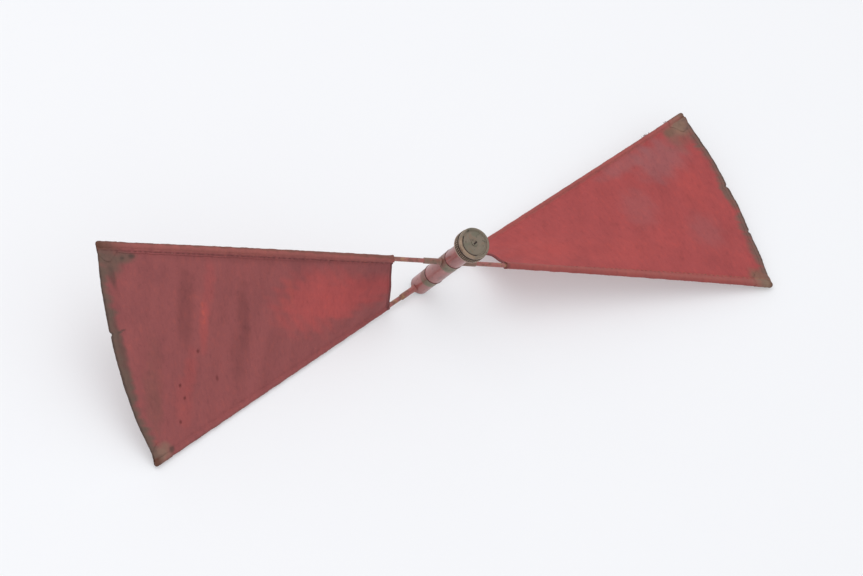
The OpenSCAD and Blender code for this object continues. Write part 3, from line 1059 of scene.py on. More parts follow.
@dataclass(frozen=True)
class Pocket:
    """Sleeve of cloth sewn round one rod, with its worn corner patch and its stitches.

    An upper rod carries the seam on the face towards the knob, a lower rod on the other face.
    """

    wing: Wing
    rod: RodLine
    roll: Colour
    roll_amount: float
    outside_amount: float
    tip_length: float
    tip: Colour
    # seam: colour of the line along the seam; the dark one is dirt and painted shade in the valley beside
    # the roll
    seam: Colour
    wrap_radius: float = 3.9 * MM
    cloth: float = 0.9 * MM
    seam_depth: float = 6.8 * MM
    seam_width: float = 1.0 * MM
    pinch: float = 0.3 * MM
    tail: float = 9.0 * MM
    plain_tail: float = 7.2 * MM
    wrap_flat: float = 0.3
    wrap_opening: float = math.radians(32)
    sleeve_cap: float = 3.0 * MM
    sleeve_cells: tuple[int, int] = (44, 320)
    patch_length: float = 27.0 * MM
    patch_depth: float = 21.0 * MM
    patch_start: float = 6.5 * MM
    patch_cap: float = 5.0 * MM
    patch_thickness: float = 0.28 * MM
    patch_cells: tuple[int, int] = (56, 48)
    stitch_pitch: float = 6.5 * MM
    stitch_length: float = 3.2 * MM
    loose_length: float = 4.6 * MM
    loose_count: int = 5

    @property
    def seed(self) -> int:
        """Number that picks the phases of this pocket's waves."""
        return self.wing.shape.seed + (40 if self.rod.level is Level.UPPER else 50)

    def seamed(self, s: np.ndarray) -> np.ndarray:
        """True where the wrap lies on the face that carries the seam."""
        return (s < 0.5) == (self.rod.level is Level.UPPER)

    def section(
        self, s: np.ndarray, radius: np.ndarray, tail: np.ndarray, rest: np.ndarray
    ) -> tuple[np.ndarray, np.ndarray]:
        """Depth and lift of the wrap's middle line, from the upper tail round to the lower one.

        Args:
            s: Share of the way round.
            radius: Radius round the rod.
            tail: Depth at which the tails end.
            rest: Height of the tails over the middle of the cloth.

        Returns:
            Depth from the rod and lift over the cloth.
        """
        flat, opening = self.wrap_flat, self.wrap_opening
        sweep = np.clip((s - flat) / (1 - 2 * flat), 0, 1)
        theta = opening + (2 * math.pi - 2 * opening) * sweep
        loop_depth, loop_lift = radius * np.cos(theta), radius * np.sin(theta)
        run = np.clip(np.minimum(s, 1 - s) / flat, 0, 1)
        start_depth, start_lift = radius * math.cos(opening), radius * math.sin(opening)
        ease = smooth(run, 0.25, 1.0)
        tail_depth = tail + (start_depth - tail) * run
        tail_lift = (rest + (start_lift - rest) * ease**1.6) * np.where(s < 0.5, 1, -1)
        on_tail = (s < flat) | (s > 1 - flat)
        return np.where(on_tail, tail_depth, loop_depth), np.where(on_tail, tail_lift, loop_lift)

    def climb(self, reach: np.ndarray) -> np.ndarray:
        """Step from 0 to 1 where the wrap climbs onto the wing's binding."""
        return smooth(reach, self.rod.reach - 18 * MM, self.rod.reach - 10 * MM)

    def rest_height(self, reach: np.ndarray, seamed: np.ndarray) -> np.ndarray:
        """Height of the tails over the middle of the cloth; they climb over the binding."""
        climb = self.climb(reach)
        return np.where(seamed, 0.97 + 0.6 * climb, 0.12 + 1.4 * climb) * MM

    def close(self, reach: np.ndarray, last: float, cap: float) -> np.ndarray:
        """Share of the full radius: it rounds off to almost nothing over a cap at the tip."""
        return np.sqrt(np.clip(1 - np.clip((reach - last + cap) / cap, 0, 1) ** 2, 0.02, 1))

    def dye(self, s: np.ndarray, reach: np.ndarray, depth: np.ndarray) -> np.ndarray:
        """Dye of the wrap: the wing's, rubbed brown over the rod, with a line along the seam that is dirt
        and painted shade where it is dark.

        Args:
            s: Share of the way round the wrap.
            reach: Distance from the hub's axis.
            depth: Distance from the rod's centre-line.

        Returns:
            One colour for each point.
        """
        seed = self.wing.shape.seed + 90 + self.rod.level.turn
        share = np.clip(depth / self.wing.shape.span(reach), 0, 1)
        if self.rod.level is Level.LOWER:
            share = 1 - share
        colours = self.wing.dye(np.minimum(reach, self.wing.shape.outer(share) - 3 * MM), share)
        rubbed = 1 - smooth(depth + 0.7 * MM * ripple(reach / 0.02, seed), 3.4 * MM, 5.6 * MM)
        brown = 1 - smooth(depth + 0.5 * MM * ripple(reach / 0.03, seed + 1), -3.6 * MM, -1.4 * MM)
        rubbed *= 1 - 0.8 * (1 - self.outside_amount) * brown
        colours = over(colours, self.roll, self.roll_amount * rubbed)
        colours = over(colours, ROLL_EDGE, self.outside_amount * brown)
        ragged = reach + 2 * MM * ripple(depth / 0.008, seed + 3)
        tip = smooth(ragged, self.rod.reach - self.tip_length, self.rod.reach)
        colours = over(colours, self.tip, 1.2 * tip * (1 - smooth(depth, 4 * MM, 8 * MM)))
        # Seam line: where its colour is dark it is dirt and painted shade in the valley between roll and
        # cloth.
        broken = np.clip(0.6 + 0.45 * ripple(reach / 0.011, seed + 2), 0, 1)
        seam = np.exp(-(((depth - self.seam_depth) / self.seam_width) ** 2)) * broken * self.seamed(s)
        return over(colours, self.seam, 0.65 * seam)

    def lay(self, sheet: SheetCut, wrap: Fill, pinch: float, worn: float) -> bpy.types.Object:
        """Lays a sheet round the rod.

        Args:
            sheet: The sheet.
            wrap: Gives reach, depth and lift for shares along both sides of the sheet.
            pinch: How far the stitches draw the sheet in along the seam.
            worn: How brown the sheet is at the very tip.

        Returns:
            The finished piece.
        """
        rod, shape = self.rod, self.wing.shape

        def fill(s: np.ndarray, t: np.ndarray) -> Arrays:
            """Fills the sheet; its cloth coordinates run on from the wing's.

            Args:
                s: Share of the way round the rod.
                t: Share of the way out along it.

            Returns:
                Points, cloth coordinates and dye.
            """
            reach, depth, lift = wrap(s, t)
            near = np.exp(-(((depth - self.seam_depth) / (2.2 * MM)) ** 2)) * self.seamed(s)
            drawn = pinch * near * (0.6 + 0.4 * np.cos(2 * math.pi * reach / self.stitch_pitch))
            points = shape.beside(rod, reach, depth, lift - np.sign(lift) * drawn)
            down = (depth - shape.span(reach) / 2) * -rod.level.turn
            tip = smooth(reach, rod.reach - 9 * MM, rod.reach) * (1 - smooth(depth, 3 * MM, 7 * MM))
            dye = over(self.dye(s, reach, depth), TIP_BROWN, worn * tip)
            return points, np.stack((reach, down + 0.5 * lift), axis=1), dye

        return sheet.lay(fill)

    def build(self) -> bpy.types.Object:
        """Builds the sleeve.

        Returns:
            The sleeve.
        """
        first, last = self.rod.cloth_start - 1.5 * MM, self.rod.reach

        def wrap(s: np.ndarray, t: np.ndarray) -> Arrays:
            """Wraps the sleeve round the rod, with rucks and a frayed mouth.

            Args:
                s: Share of the way round the rod.
                t: Share of the way out along it.

            Returns:
                Reach, depth and lift.
            """
            reach = first + (last - first) * t
            close = self.close(reach, last, self.sleeve_cap)
            ruck = 1 + 0.05 * ripple(reach / 0.03 + s * 1.5, self.seed)
            ruck += 0.02 * ripple(reach / 0.009 - s, self.seed + 1)
            ruck *= 1 + 0.12 * (1 - smooth(reach, first, first + 5 * MM))
            seamed = self.seamed(s)
            seam_tail = self.tail * (1 + 0.03 * ripple(reach / 0.03, self.seed + 2))
            tail = np.where(seamed, seam_tail, self.plain_tail) * np.maximum(close, 0.5)
            radius = self.wrap_radius * np.maximum(ruck, 0.95) * close
            depth, lift = self.section(s, radius, tail, self.rest_height(reach, seamed))
            mouth = 1 - smooth(reach, first, first + 4 * MM)
            return reach + 0.5 * MM * ripple(s * 5, self.seed + 3) * mouth, depth, lift

        sheet = SheetCut(f"{self.rod.name}_sleeve", self.sleeve_cells, self.cloth)
        return self.lay(sheet, wrap, self.pinch, 0.0)

    def patch(self) -> bpy.types.Object:
        """Thin worn corner patch folded over the tip.

        Returns:
            The patch.
        """
        first, last = self.rod.reach - self.patch_length, self.rod.reach + 1.6 * MM
        seed = self.seed + 20

        def wrap(s: np.ndarray, t: np.ndarray) -> Arrays:
            """Wraps the patch round the sleeve, wider towards the tip.

            Args:
                s: Share of the way round the rod.
                t: Share of the way out along it.

            Returns:
                Reach, depth and lift.
            """
            reach = first + (last - first) * t
            close = self.close(reach, last, self.patch_cap)
            radius = (self.wrap_radius + 0.75 * MM) * close * (1 + 0.03 * ripple(reach / 0.01 + s, seed))
            inward = self.patch_start + (self.patch_depth - self.patch_start) * smooth(t, 0.0, 0.6)
            corner = np.clip((reach - last + 12 * MM) / (15 * MM), 0, 1)
            inward *= np.sqrt(np.clip(1 - corner**2, 0.05, 1))
            rest = self.rest_height(reach, self.seamed(s)) + 0.72 * MM
            depth, lift = self.section(s, radius, inward, rest)
            low = (0.64 + 0.62 * self.climb(reach)) * MM
            beyond = smooth(depth, self.tail - 1 * MM, self.tail + 7 * MM)
            lift = lift * (1 - beyond) + np.sign(lift) * low * beyond
            mouth = 1 - smooth(t, 0, 0.2)
            return reach + 0.5 * MM * ripple(s * 5, seed + 2) * mouth, depth, lift

        sheet = SheetCut(f"{self.rod.name}_corner_patch", self.patch_cells, self.patch_thickness)
        return self.lay(sheet, wrap, 0.0, 0.8)

    def stitches(self) -> bpy.types.Object:
        """Thread stitches along the seam.

        Returns:
            The row of stitches.
        """
        rod, shape = self.rod, self.wing.shape
        draw = np.random.default_rng(shape.seed + 80 + rod.level.turn)
        runs = []
        for reach in np.arange(rod.cloth_start + 5 * MM, rod.reach - 6 * MM, self.stitch_pitch):
            spot = np.array([reach + draw.normal(0, 0.4 * MM)])
            depth = np.array([self.seam_depth + draw.normal(0, 0.3 * MM)])
            rest = self.rest_height(spot, np.array([True]))
            lift = -rod.level.turn * (rest + self.cloth / 2 - 0.05 * MM)
            here = Vector(shape.beside(rod, spot, depth, lift)[0])
            there = Vector(shape.beside(rod, spot + MM, depth + draw.normal(0, 0.1 * MM), lift)[0])
            runs.append((here, there - here))
        return sew(f"{rod.name}_stitches", self.stitch_length, runs)

    def loose_threads(self, reaches: Sequence[float]) -> bpy.types.Object:
        """Short frayed threads that stand out over the rod.

        Args:
            reaches: Distance of each tuft from the hub's axis.

        Returns:
            The threads.
        """
        rod, shape = self.rod, self.wing.shape
        draw = np.random.default_rng(shape.seed + 85)
        runs = []
        for reach in reaches:
            for _ in range(self.loose_count):
                spot = np.array([reach + draw.normal(0, 1.6 * MM)])
                depth, lift = np.array([-3.9 * MM]), np.array([draw.uniform(0.5, 2.0) * MM])
                away = np.array([draw.uniform(1.0, 2.4) * MM])
                here = Vector(shape.beside(rod, spot, depth, lift)[0])
                there = Vector(shape.beside(rod, spot + draw.uniform(-2, 2) * MM, depth - away, lift)[0])
                runs.append((here, there - here))
        return sew(f"{rod.name}_loose_threads", self.loose_length, runs)


def sew(name: str, length: float, runs: Sequence[tuple[Vector, Vector]]) -> bpy.types.Object:
    """Models one short thread, copies it to each run and joins the copies.

    Args:
        name: Name of the piece.
        length: Length of each thread.
        runs: Middle and direction of each thread.

    Returns:
        The joined threads.
    """
    deselect()
    bpy.ops.mesh.primitive_cylinder_add(vertices=6, radius=0.28 * MM, depth=length)
    first = bpy.context.object
    bpy.ops.object.mode_set(mode="EDIT")
    bpy.ops.mesh.select_all(action="SELECT")
    bpy.ops.mesh.subdivide(number_cuts=1)
    bpy.ops.object.mode_set(mode="OBJECT")
    finish_with(first, "BEVEL", width=0.1 * MM, segments=1)
    copies = []
    for middle, direction in runs:
        copy = first.copy()
        copy.data = first.data.copy()
        turn = direction.to_track_quat("Z", "Y").to_matrix().to_4x4()
        copy.data.transform(Matrix.Translation(middle) @ turn)
        bpy.context.collection.objects.link(copy)
        copies.append(copy)
    bpy.data.objects.remove(first)
    deselect()
    for copy in copies:
        copy.select_set(True)
    bpy.context.view_layer.objects.active = copies[0]
    bpy.ops.object.join()
    row = bpy.context.object
    row.name = row.data.name = name
    round_off(row)
    return row


# ---------------------------------------------------------------- knob


@dataclass(frozen=True)
class Knob:
    """Knurled clamping knob: turned body, inset disc and slotted screw."""

    hub: HubFrame
    knurls: int = 48
    groove: float = 1.3 * MM
    row_height: float = 2.6 * MM
    row_starts: tuple[float, float] = (4.3 * MM, 7.9 * MM)
    slot: tuple[float, float, float] = (7.6 * MM, 2.2 * MM, 2.2 * MM)
    slot_middle: tuple[float, float] = (1.3 * MM, -0.4 * MM)
    slot_turn: float = math.radians(6)

    def dress_by_place(
        self,
        piece: bpy.types.Object,
        base: Finish,
        *rules: tuple[Finish, Callable[[Vector, float], bool]],
    ) -> None:
        """Gives an upright piece its finish, and others where a rule holds.

        Args:
            piece: The upright piece.
            base: Finish of the whole piece.
            rules: Finishes with rules of a face's centre and how much it faces up.
        """
        piece.data.materials.append(base.make(self.hub.turn))
        for index, (finish, holds) in enumerate(rules, start=1):
            piece.data.materials.append(finish.make(self.hub.turn))
            for face in piece.data.polygons:
                if holds(face.center, face.normal.z):
                    face.material_index = index

    def turned(
        self, name: str, profile: Sequence[tuple[float, float]], segments: int
    ) -> bpy.types.Object:
        """Turned piece about the hub's axis, ring by ring, closed at both ends.

        Args:
            name: Name of the piece.
            profile: Radius and height of each ring, from the lower end to the upper one.
            segments: Number of sides.

        Returns:
            The piece, still upright in hub coordinates.
        """
        deselect()
        radius, height = profile[0]
        bpy.ops.mesh.primitive_circle_add(
            vertices=segments, radius=radius, fill_type="NGON", location=(0, 0, height)
        )
        piece = bpy.context.object
        piece.name = piece.data.name = name
        bpy.ops.object.transform_apply(location=True, rotation=True, scale=True)
        bpy.ops.object.mode_set(mode="EDIT")
        bpy.ops.mesh.select_all(action="SELECT")
        for (before, low), (after, high) in zip(profile, profile[1:]):
            bpy.ops.mesh.extrude_region_move(TRANSFORM_OT_translate={"value": (0, 0, high - low)})
            share = after / before
            bpy.ops.transform.resize(value=(share, share, 1.0))
        bpy.ops.mesh.select_all(action="SELECT")
        bpy.ops.mesh.normals_make_consistent(inside=False)
        bpy.ops.object.mode_set(mode="OBJECT")
        return piece

    def stand(self, piece: bpy.types.Object) -> None:
        """Turns an upright piece into the row's frame, in its mesh."""
        piece.data.transform(Matrix((self.hub.x, self.hub.y, self.hub.z)).transposed().to_4x4())

    def body(self) -> bpy.types.Object:
        """Builds the body, with two rows of knurls sunk between two rings.

        Returns:
            The body.
        """
        low, high = self.hub.height("knob_body")
        lip = self.hub.radius("knob_body")
        rim_inner = self.hub.radius("knob_disc") + 0.1 * MM
        band, neck, crown = lip - 0.55 * MM, lip - self.groove, lip - 0.8 * MM
        floor = high - 2.6 * MM
        rows = [(low + start, low + start + self.row_height) for start in self.row_starts]
        profile = [
            (lip * 0.66, low + 0.5 * MM), (lip * 0.7, low), (lip - 1.5 * MM, low),
            (lip - 0.5 * MM, low + 0.2 * MM), (lip, low + 0.9 * MM), (lip, low + 1.9 * MM),
            (lip - 0.5 * MM, low + 2.5 * MM), (neck, low + 2.7 * MM), (neck, low + 4.1 * MM),
            (band, rows[0][0]), (band, rows[0][1]), (band - 0.8 * MM, rows[0][1] + 0.15 * MM),
            (band - 0.8 * MM, rows[1][0] - 0.15 * MM), (band, rows[1][0]), (band, rows[1][1]),
            (neck, rows[1][1] + 0.2 * MM), (neck, low + 12.0 * MM), (crown - 0.2 * MM, low + 12.2 * MM),
            (crown, low + 12.6 * MM), (crown, high - 1.5 * MM), (crown - 0.5 * MM, high - 0.45 * MM),
            (crown - 1.3 * MM, high - 0.08 * MM), (crown - 1.9 * MM, high),
            (rim_inner + 0.5 * MM, high - 0.05 * MM), (rim_inner, high - 0.5 * MM), (rim_inner, floor),
        ]
        piece = self.turned("knob_turned_body", profile, 2 * self.knurls)
        self.knurl(piece, band, *rows)

        def sunk(centre: Vector, _: float) -> bool:
            """True in the grooves."""
            level = low + 2.5 * MM < centre.z < low + 12.1 * MM
            return level and centre.xy.length < band - 0.1 * MM

        def rim_top_off_highlight(centre: Vector, up: float) -> bool:
            """True on top of the rim, away from its -X side, which keeps the bright bronze as a painted
            highlight.
            """
            return centre.z > high - 0.6 * MM and up > 0.3 and centre.x > -0.6 * centre.xy.length

        def valley(centre: Vector, _: float) -> bool:
            """True between the knurls."""
            level = any(bottom < centre.z < top for bottom, top in rows)
            return level and centre.xy.length < band + 0.2 * MM

        def edge(centre: Vector, _: float) -> bool:
            """True on the rubbed lip."""
            return centre.z < low + 2.4 * MM and centre.xy.length > lip - 1.6 * MM

        # The grooves get grime and painted shade.
        rules = ((VALLEY_BRONZE, valley), (GRIME_AND_SHADE, sunk), (PATINA, rim_top_off_highlight), (PALE_BRONZE, edge))
        self.dress_by_place(piece, BRONZE, *rules)
        self.stand(piece)
        round_off(piece, 40.0)
        return piece

    def knurl(self, piece: bpy.types.Object, radius: float, *rows: tuple[float, float]) -> None:
        """Raises a small pad on every other face of each knurled row.

        Args:
            piece: The upright body.
            radius: Radius of the knurled band.
            rows: Lower and upper height of each row.
        """
        activate(piece)
        bpy.ops.object.mode_set(mode="EDIT")
        bpy.ops.mesh.select_mode(type="FACE")
        bpy.ops.mesh.select_all(action="DESELECT")
        bpy.ops.object.mode_set(mode="OBJECT")
        for face in piece.data.polygons:
            centre = face.center
            level = any(a < centre.z < b for a, b in rows)
            step = math.atan2(centre.y, centre.x) / math.pi * self.knurls
            even = math.floor(step) % 2 == 0
            face.select = level and even and abs(centre.xy.length - radius) < 0.2 * MM
        bpy.ops.object.mode_set(mode="EDIT")
        bpy.ops.mesh.inset(thickness=0.08 * MM, use_individual=True)
        bpy.ops.transform.shrink_fatten(value=0.42 * MM)
        bpy.ops.mesh.inset(thickness=0.2 * MM, use_individual=True)
        bpy.ops.transform.shrink_fatten(value=0.12 * MM)
        bpy.ops.object.mode_set(mode="OBJECT")

    def disc(self) -> bpy.types.Object:
        """Builds the inset disc, with a raised edge, a groove and a low boss.

        Returns:
            The disc.
        """
        low, high = self.hub.height("knob_disc")
        edge = self.hub.radius("knob_disc")
        profile = [
            (edge * 0.9, low), (edge, low + 0.1 * MM), (edge, high - 0.35 * MM), (edge - 0.3 * MM, high),
            (edge - 1.2 * MM, high + 0.05 * MM), (edge - 1.5 * MM, high - 0.45 * MM),
            (edge - 2.1 * MM, high - 0.45 * MM), (edge - 2.5 * MM, high - 0.05 * MM),
            (edge - 6.0 * MM, high), (4.7 * MM, high + 0.04 * MM), (4.4 * MM, high - 0.02 * MM),
            (4.3 * MM, high - 0.3 * MM),
        ]
        piece = self.turned("knob_patina_disc", profile, 2 * self.knurls)
        finish_with(piece, "BEVEL", width=0.08 * MM, segments=2, limit_method="ANGLE")
        # Painted shade: a dark crescent on the disc's edge towards -X, where it sits sunk in the rim.
        self.dress_by_place(
            piece, PATINA,
            (GRIME_AND_SHADE, lambda centre, up: centre.xy.length > edge - 1.7 * MM and centre.x < -0.45 * edge),
        )
        self.stand(piece)
        round_off(piece, 40.0)
        return piece

    def screw(self) -> bpy.types.Object:
        """Builds the screw's head with its slot cut across it.

        Returns:
            The screw.
        """
        _, high = self.hub.height("knob_screw")
        _, disc_top = self.hub.height("knob_disc")
        edge = self.hub.radius("knob_screw")
        profile = [
            (edge * 0.94, disc_top - 0.4 * MM), (edge, disc_top - 0.3 * MM), (edge, high - 0.15 * MM),
            (edge - 0.3 * MM, high), (edge * 0.55, high + 0.05 * MM), (edge * 0.1, high + 0.08 * MM),
        ]
        piece = self.turned("knob_slotted_screw", profile, 48)
        deselect()
        spot, turn = (*self.slot_middle, high), (0, 0, self.slot_turn)
        bpy.ops.mesh.primitive_cube_add(size=1.0, location=spot, rotation=turn)
        cutter = bpy.context.object
        cutter.scale = self.slot
        bpy.ops.object.transform_apply(location=True, rotation=True, scale=True)
        finish_with(piece, "BOOLEAN", operation="DIFFERENCE", object=cutter, solver="EXACT")
        bpy.data.objects.remove(cutter)
        finish_with(piece, "BEVEL", width=0.09 * MM, segments=2, limit_method="ANGLE")
        # The slot is grime and painted shade.
        self.dress_by_place(piece, PATINA, (GRIME_AND_SHADE, lambda centre, up: self.in_slot(centre, high)))
        self.stand(piece)
        round_off(piece, 40.0)
        return piece

    def in_slot(self, centre: Vector, high: float) -> bool:
        """True for a face inside the screw's slot.

        Args:
            centre: Centre of the face.
            high: Height of the screw's top.

        Returns:
            Whether the face lies in the slot.
        """
        x, y = self.slot_middle
        beside = centre.y - y - math.tan(self.slot_turn) * (centre.x - x)
        return abs(beside) < 1.3 * MM and high - 1.3 * MM < centre.z < high - 0.1 * MM


# ---------------------------------------------------------------- finishes

RED_PAINT = Finish(
    "red_paint", srgb(152, 88, 84),
    (
        Patches(srgb(124, 68, 64), 90.0, 0.45, 0.68, 0.8, (1.0, 1.0, 0.3), 0.06),
        Patches(srgb(178, 118, 110), 160.0, 0.56, 0.72, 0.5, (1.0, 1.0, 0.4)),
        Patches(srgb(112, 70, 56), 210.0, 0.64, 0.7, 0.8, rough=0.2),
    ),
    0.3, coat=0.3, grain=700.0, grain_depth=0.00002, dent_depth=0.0002,
)
ROD_PAINT = Finish(
    "rod_paint", srgb(153, 88, 83),
    (
        Patches(srgb(120, 78, 62), 70.0, 0.48, 0.58, 0.85, rough=0.15),
        Patches(srgb(156, 116, 84), 150.0, 0.56, 0.64, 0.8, rough=0.25),
        Patches(srgb(92, 58, 48), 210.0, 0.6, 0.68, 0.8, rough=0.25),
    ),
    0.42, coat=0.15,
)
WORN_IRON = Finish(
    "worn_red_iron", srgb(126, 98, 84),
    (
        Patches(srgb(150, 92, 84), 110.0, 0.46, 0.6, 0.8),
        Patches(srgb(84, 70, 58), 190.0, 0.58, 0.7, 0.8, rough=0.2),
    ),
    0.5, grain=800.0, dent_depth=0.0004,
)
# Its cover is a painted reflection, pinkish on the bands' +Y side.
TARNISH = Finish(
    "tarnished_brass", srgb(128, 112, 92),
    (
        Patches(srgb(104, 98, 78), 140.0, 0.44, 0.62, 0.8, (1.0, 1.0, 0.5)),
        Patches(srgb(146, 104, 92), 100.0, 0.56, 0.7, 0.5),
        Patches(srgb(78, 70, 58), 260.0, 0.62, 0.72, 0.7),
    ),
    0.42, metal=0.25, cover=srgb(132, 84, 76),
)
BRONZE = Finish(
    "bronze", srgb(150, 126, 106),
    (
        Patches(srgb(120, 102, 82), 120.0, 0.42, 0.62, 0.8),
        Patches(srgb(172, 146, 128), 90.0, 0.55, 0.72, 0.6),
        Patches(srgb(92, 78, 62), 330.0, 0.6, 0.7, 0.55, rough=0.15),
    ),
    0.38, metal=0.3, grain=1100.0, dent_depth=0.0002,
)
PATINA = Finish(
    "patina", srgb(120, 108, 94),
    (
        Patches(srgb(104, 100, 84), 85.0, 0.45, 0.62, 0.8),
        Patches(srgb(126, 102, 84), 120.0, 0.52, 0.66, 0.6),
        Patches(srgb(76, 70, 58), 190.0, 0.58, 0.66, 0.85, rough=0.1),
        Patches(srgb(150, 140, 126), 310.0, 0.62, 0.72, 0.4),
    ),
    0.52, metal=0.2, grain=1000.0, dent_depth=0.0004,
)
DARK_STEEL = Finish(
    "dark_steel", srgb(82, 74, 68),
    (Patches(srgb(110, 92, 76), 300.0, 0.55, 0.68, 0.6, rough=0.15),),
    0.4, metal=0.7,
)
DARK_WASHER = Finish(
    "dark_washer", srgb(100, 54, 49),
    (Patches(srgb(70, 42, 37), 300.0, 0.45, 0.6, 0.7),),
    0.6,
)
PALE_BRONZE = Finish(
    "pale_bronze", srgb(166, 138, 124),
    (Patches(srgb(140, 116, 98), 150.0, 0.45, 0.6, 0.7),),
    0.4, metal=0.2,
)
VALLEY_BRONZE = Finish(
    "valley_bronze", srgb(98, 80, 64),
    (Patches(srgb(76, 62, 48), 200.0, 0.45, 0.6, 0.7),),
    0.55, metal=0.2,
)
# Grime and painted shade for the knob's grooves, the screw's slot and one side of the disc's edge.
GRIME_AND_SHADE = Finish(
    "grime_and_shade", srgb(52, 38, 32),
    (Patches(srgb(34, 24, 22), 300.0, 0.45, 0.6, 0.7),),
    0.75,
)
THREAD = Finish(
    "thread", srgb(128, 74, 70),
    (Patches(srgb(92, 50, 46), 90.0, 0.45, 0.6, 0.8), Patches(srgb(176, 132, 116), 120.0, 0.6, 0.68, 0.8)),
    0.8, grain=2400.0, grain_depth=0.0001,
)

CAD_FINISHES: dict[Finish, tuple[str, ...]] = {
    RED_PAINT: ("bottom_sleeve", "middle_sleeve", "top_sleeve"),
    ROD_PAINT: (
        "upper_left_rod", "upper_right_rod", "lower_left_rod", "lower_right_rod", "lower_left_ferrule",
    ),
    WORN_IRON: ("upper_left_ferrule", "upper_right_ferrule", "lower_right_ferrule"),
    TARNISH: ("lower_band", "upper_band"),
    BRONZE: ("thrust_washer", "lower_bush", "arm_bush", "top_bush"),
    DARK_STEEL: ("foot_plug", "foot_pin", "spindle", "knob_insert"),
    DARK_WASHER: ("lower_friction_washer", "upper_friction_washer"),
}


# ---------------------------------------------------------------- the whole signal

OLIVE = srgb(102, 82, 73)
CORNER_TAN = srgb(130, 105, 90)
EDGE_LINE = srgb(76, 62, 56)
HEM_LINE = srgb(92, 48, 50)
ROLL_PINK = srgb(152, 88, 82)
ROLL_EDGE = srgb(112, 74, 64)
# Dirt and painted shade in the valley between a rod's roll and the cloth, along the seam.
SEAM_DIRT_AND_SHADE = srgb(84, 42, 42)
SEAM_TAN = srgb(148, 106, 86)
TIP_BROWN = srgb(92, 60, 46)
BRIGHT_RED = srgb(172, 78, 77)
WARM_RED = srgb(186, 88, 76)
# Painted shade on the left wing's cloth.
SHADE_BAND = srgb(112, 60, 60)
DARK_SPOT = srgb(92, 38, 38)
MAUVE = srgb(146, 92, 94)

LEFT_DABS = (
    Dab(0.120, 0.50, 0.075, 0.032, srgb(164, 72, 72), 0.85),
    Dab(0.190, 0.45, 0.075, 0.052, BRIGHT_RED, 0.8),
    Dab(0.150, 0.55, 0.045, 0.030, BRIGHT_RED, 0.6),
    Dab(0.228, 0.34, 0.004, 0.024, WARM_RED, 0.2),
    # Painted shade: a long strip beside the upper rod.
    Dab(0.240, 0.045, 0.190, 0.010, SHADE_BAND, 0.25),
    # The leaning dabs from here to 0.462 alternate darker and lighter red: painted shade and painted light
    # of the cloth's broad undulations.
    Dab(0.303, 0.46, 0.011, 0.060, SHADE_BAND, 0.5, -8),
    Dab(0.322, 0.68, 0.013, 0.045, SHADE_BAND, 0.3, -12),
    Dab(0.385, 0.35, 0.014, 0.060, SHADE_BAND, 0.5, -14),
    Dab(0.345, 0.22, 0.010, 0.040, srgb(160, 76, 76), 0.5, -14),
    Dab(0.364, 0.46, 0.009, 0.042, srgb(166, 78, 76), 0.6, -14),
    Dab(0.398, 0.68, 0.012, 0.034, srgb(160, 74, 73), 0.5, -20),
    Dab(0.360, 0.33, 0.002, 0.004, WARM_RED, 0.5),
    Dab(0.361, 0.38, 0.002, 0.004, WARM_RED, 0.5),
    Dab(0.362, 0.43, 0.002, 0.004, WARM_RED, 0.5),
    Dab(0.418, 0.82, 0.016, 0.040, srgb(158, 76, 74), 0.45, -12),
    Dab(0.448, 0.62, 0.014, 0.060, srgb(130, 74, 71), 0.5, -10),
    Dab(0.462, 0.74, 0.016, 0.050, srgb(120, 76, 70), 0.5, -8),
    Dab(0.490, 0.52, 0.010, 0.070, srgb(84, 70, 63), 0.75),
    Dab(0.380, 0.58, 0.0024, 0.0028, DARK_SPOT, 0.8),
    Dab(0.416, 0.72, 0.0024, 0.0028, DARK_SPOT, 0.8),
    Dab(0.414, 0.79, 0.0024, 0.0028, DARK_SPOT, 0.8),
    Dab(0.358, 0.77, 0.0024, 0.005, DARK_SPOT, 0.6),
    Dab(0.428, 0.89, 0.0024, 0.0028, DARK_SPOT, 0.8),
    Dab(0.474, 0.07, 0.024, 0.022, OLIVE, 0.85),
    Dab(0.452, 0.055, 0.018, 0.008, OLIVE, 0.8),
    Dab(0.443, 0.052, 0.006, 0.004, EDGE_LINE, 0.8),
    Dab(0.456, 0.060, 0.004, 0.003, EDGE_LINE, 0.7),
    Dab(0.476, 0.15, 0.006, 0.018, EDGE_LINE, 0.55),
    # The tear beside the notch: a dark line of painted shade in place of a modelled slit.
    Dab(0.482, 0.395, 0.009, 0.0016, EDGE_LINE, 0.9, 14),
    Dab(0.470, 0.972, 0.020, 0.014, CORNER_TAN, 0.8),
    Dab(0.452, 0.985, 0.006, 0.005, EDGE_LINE, 0.7),
)
RIGHT_DABS = (
    Dab(0.150, 0.45, 0.080, 0.050, srgb(170, 74, 72), 0.6),
    Dab(0.260, 0.28, 0.110, 0.034, srgb(172, 76, 74), 0.5),
    Dab(0.425, 0.84, 0.052, 0.038, MAUVE, 0.6),
    Dab(0.370, 0.93, 0.060, 0.016, MAUVE, 0.5),
    Dab(0.350, 0.60, 0.030, 0.040, MAUVE, 0.3),
    Dab(0.430, 0.35, 0.030, 0.036, MAUVE, 0.3),
    Dab(0.445, 0.60, 0.030, 0.050, srgb(172, 74, 72), 0.5),
    Dab(0.472, 0.93, 0.030, 0.030, srgb(126, 84, 76), 0.7),
    Dab(0.478, 0.965, 0.026, 0.020, CORNER_TAN, 0.9),
    Dab(0.458, 0.955, 0.012, 0.008, srgb(110, 84, 70), 0.6),
    Dab(0.474, 0.045, 0.022, 0.014, srgb(122, 92, 78), 0.85),
    Dab(0.300, 0.985, 0.160, 0.003, HEM_LINE, 0.2),
    Dab(0.494, 0.52, 0.008, 0.034, OLIVE, 0.7),
    Dab(0.486, 0.20, 0.009, 0.030, OLIVE, 0.5),
)


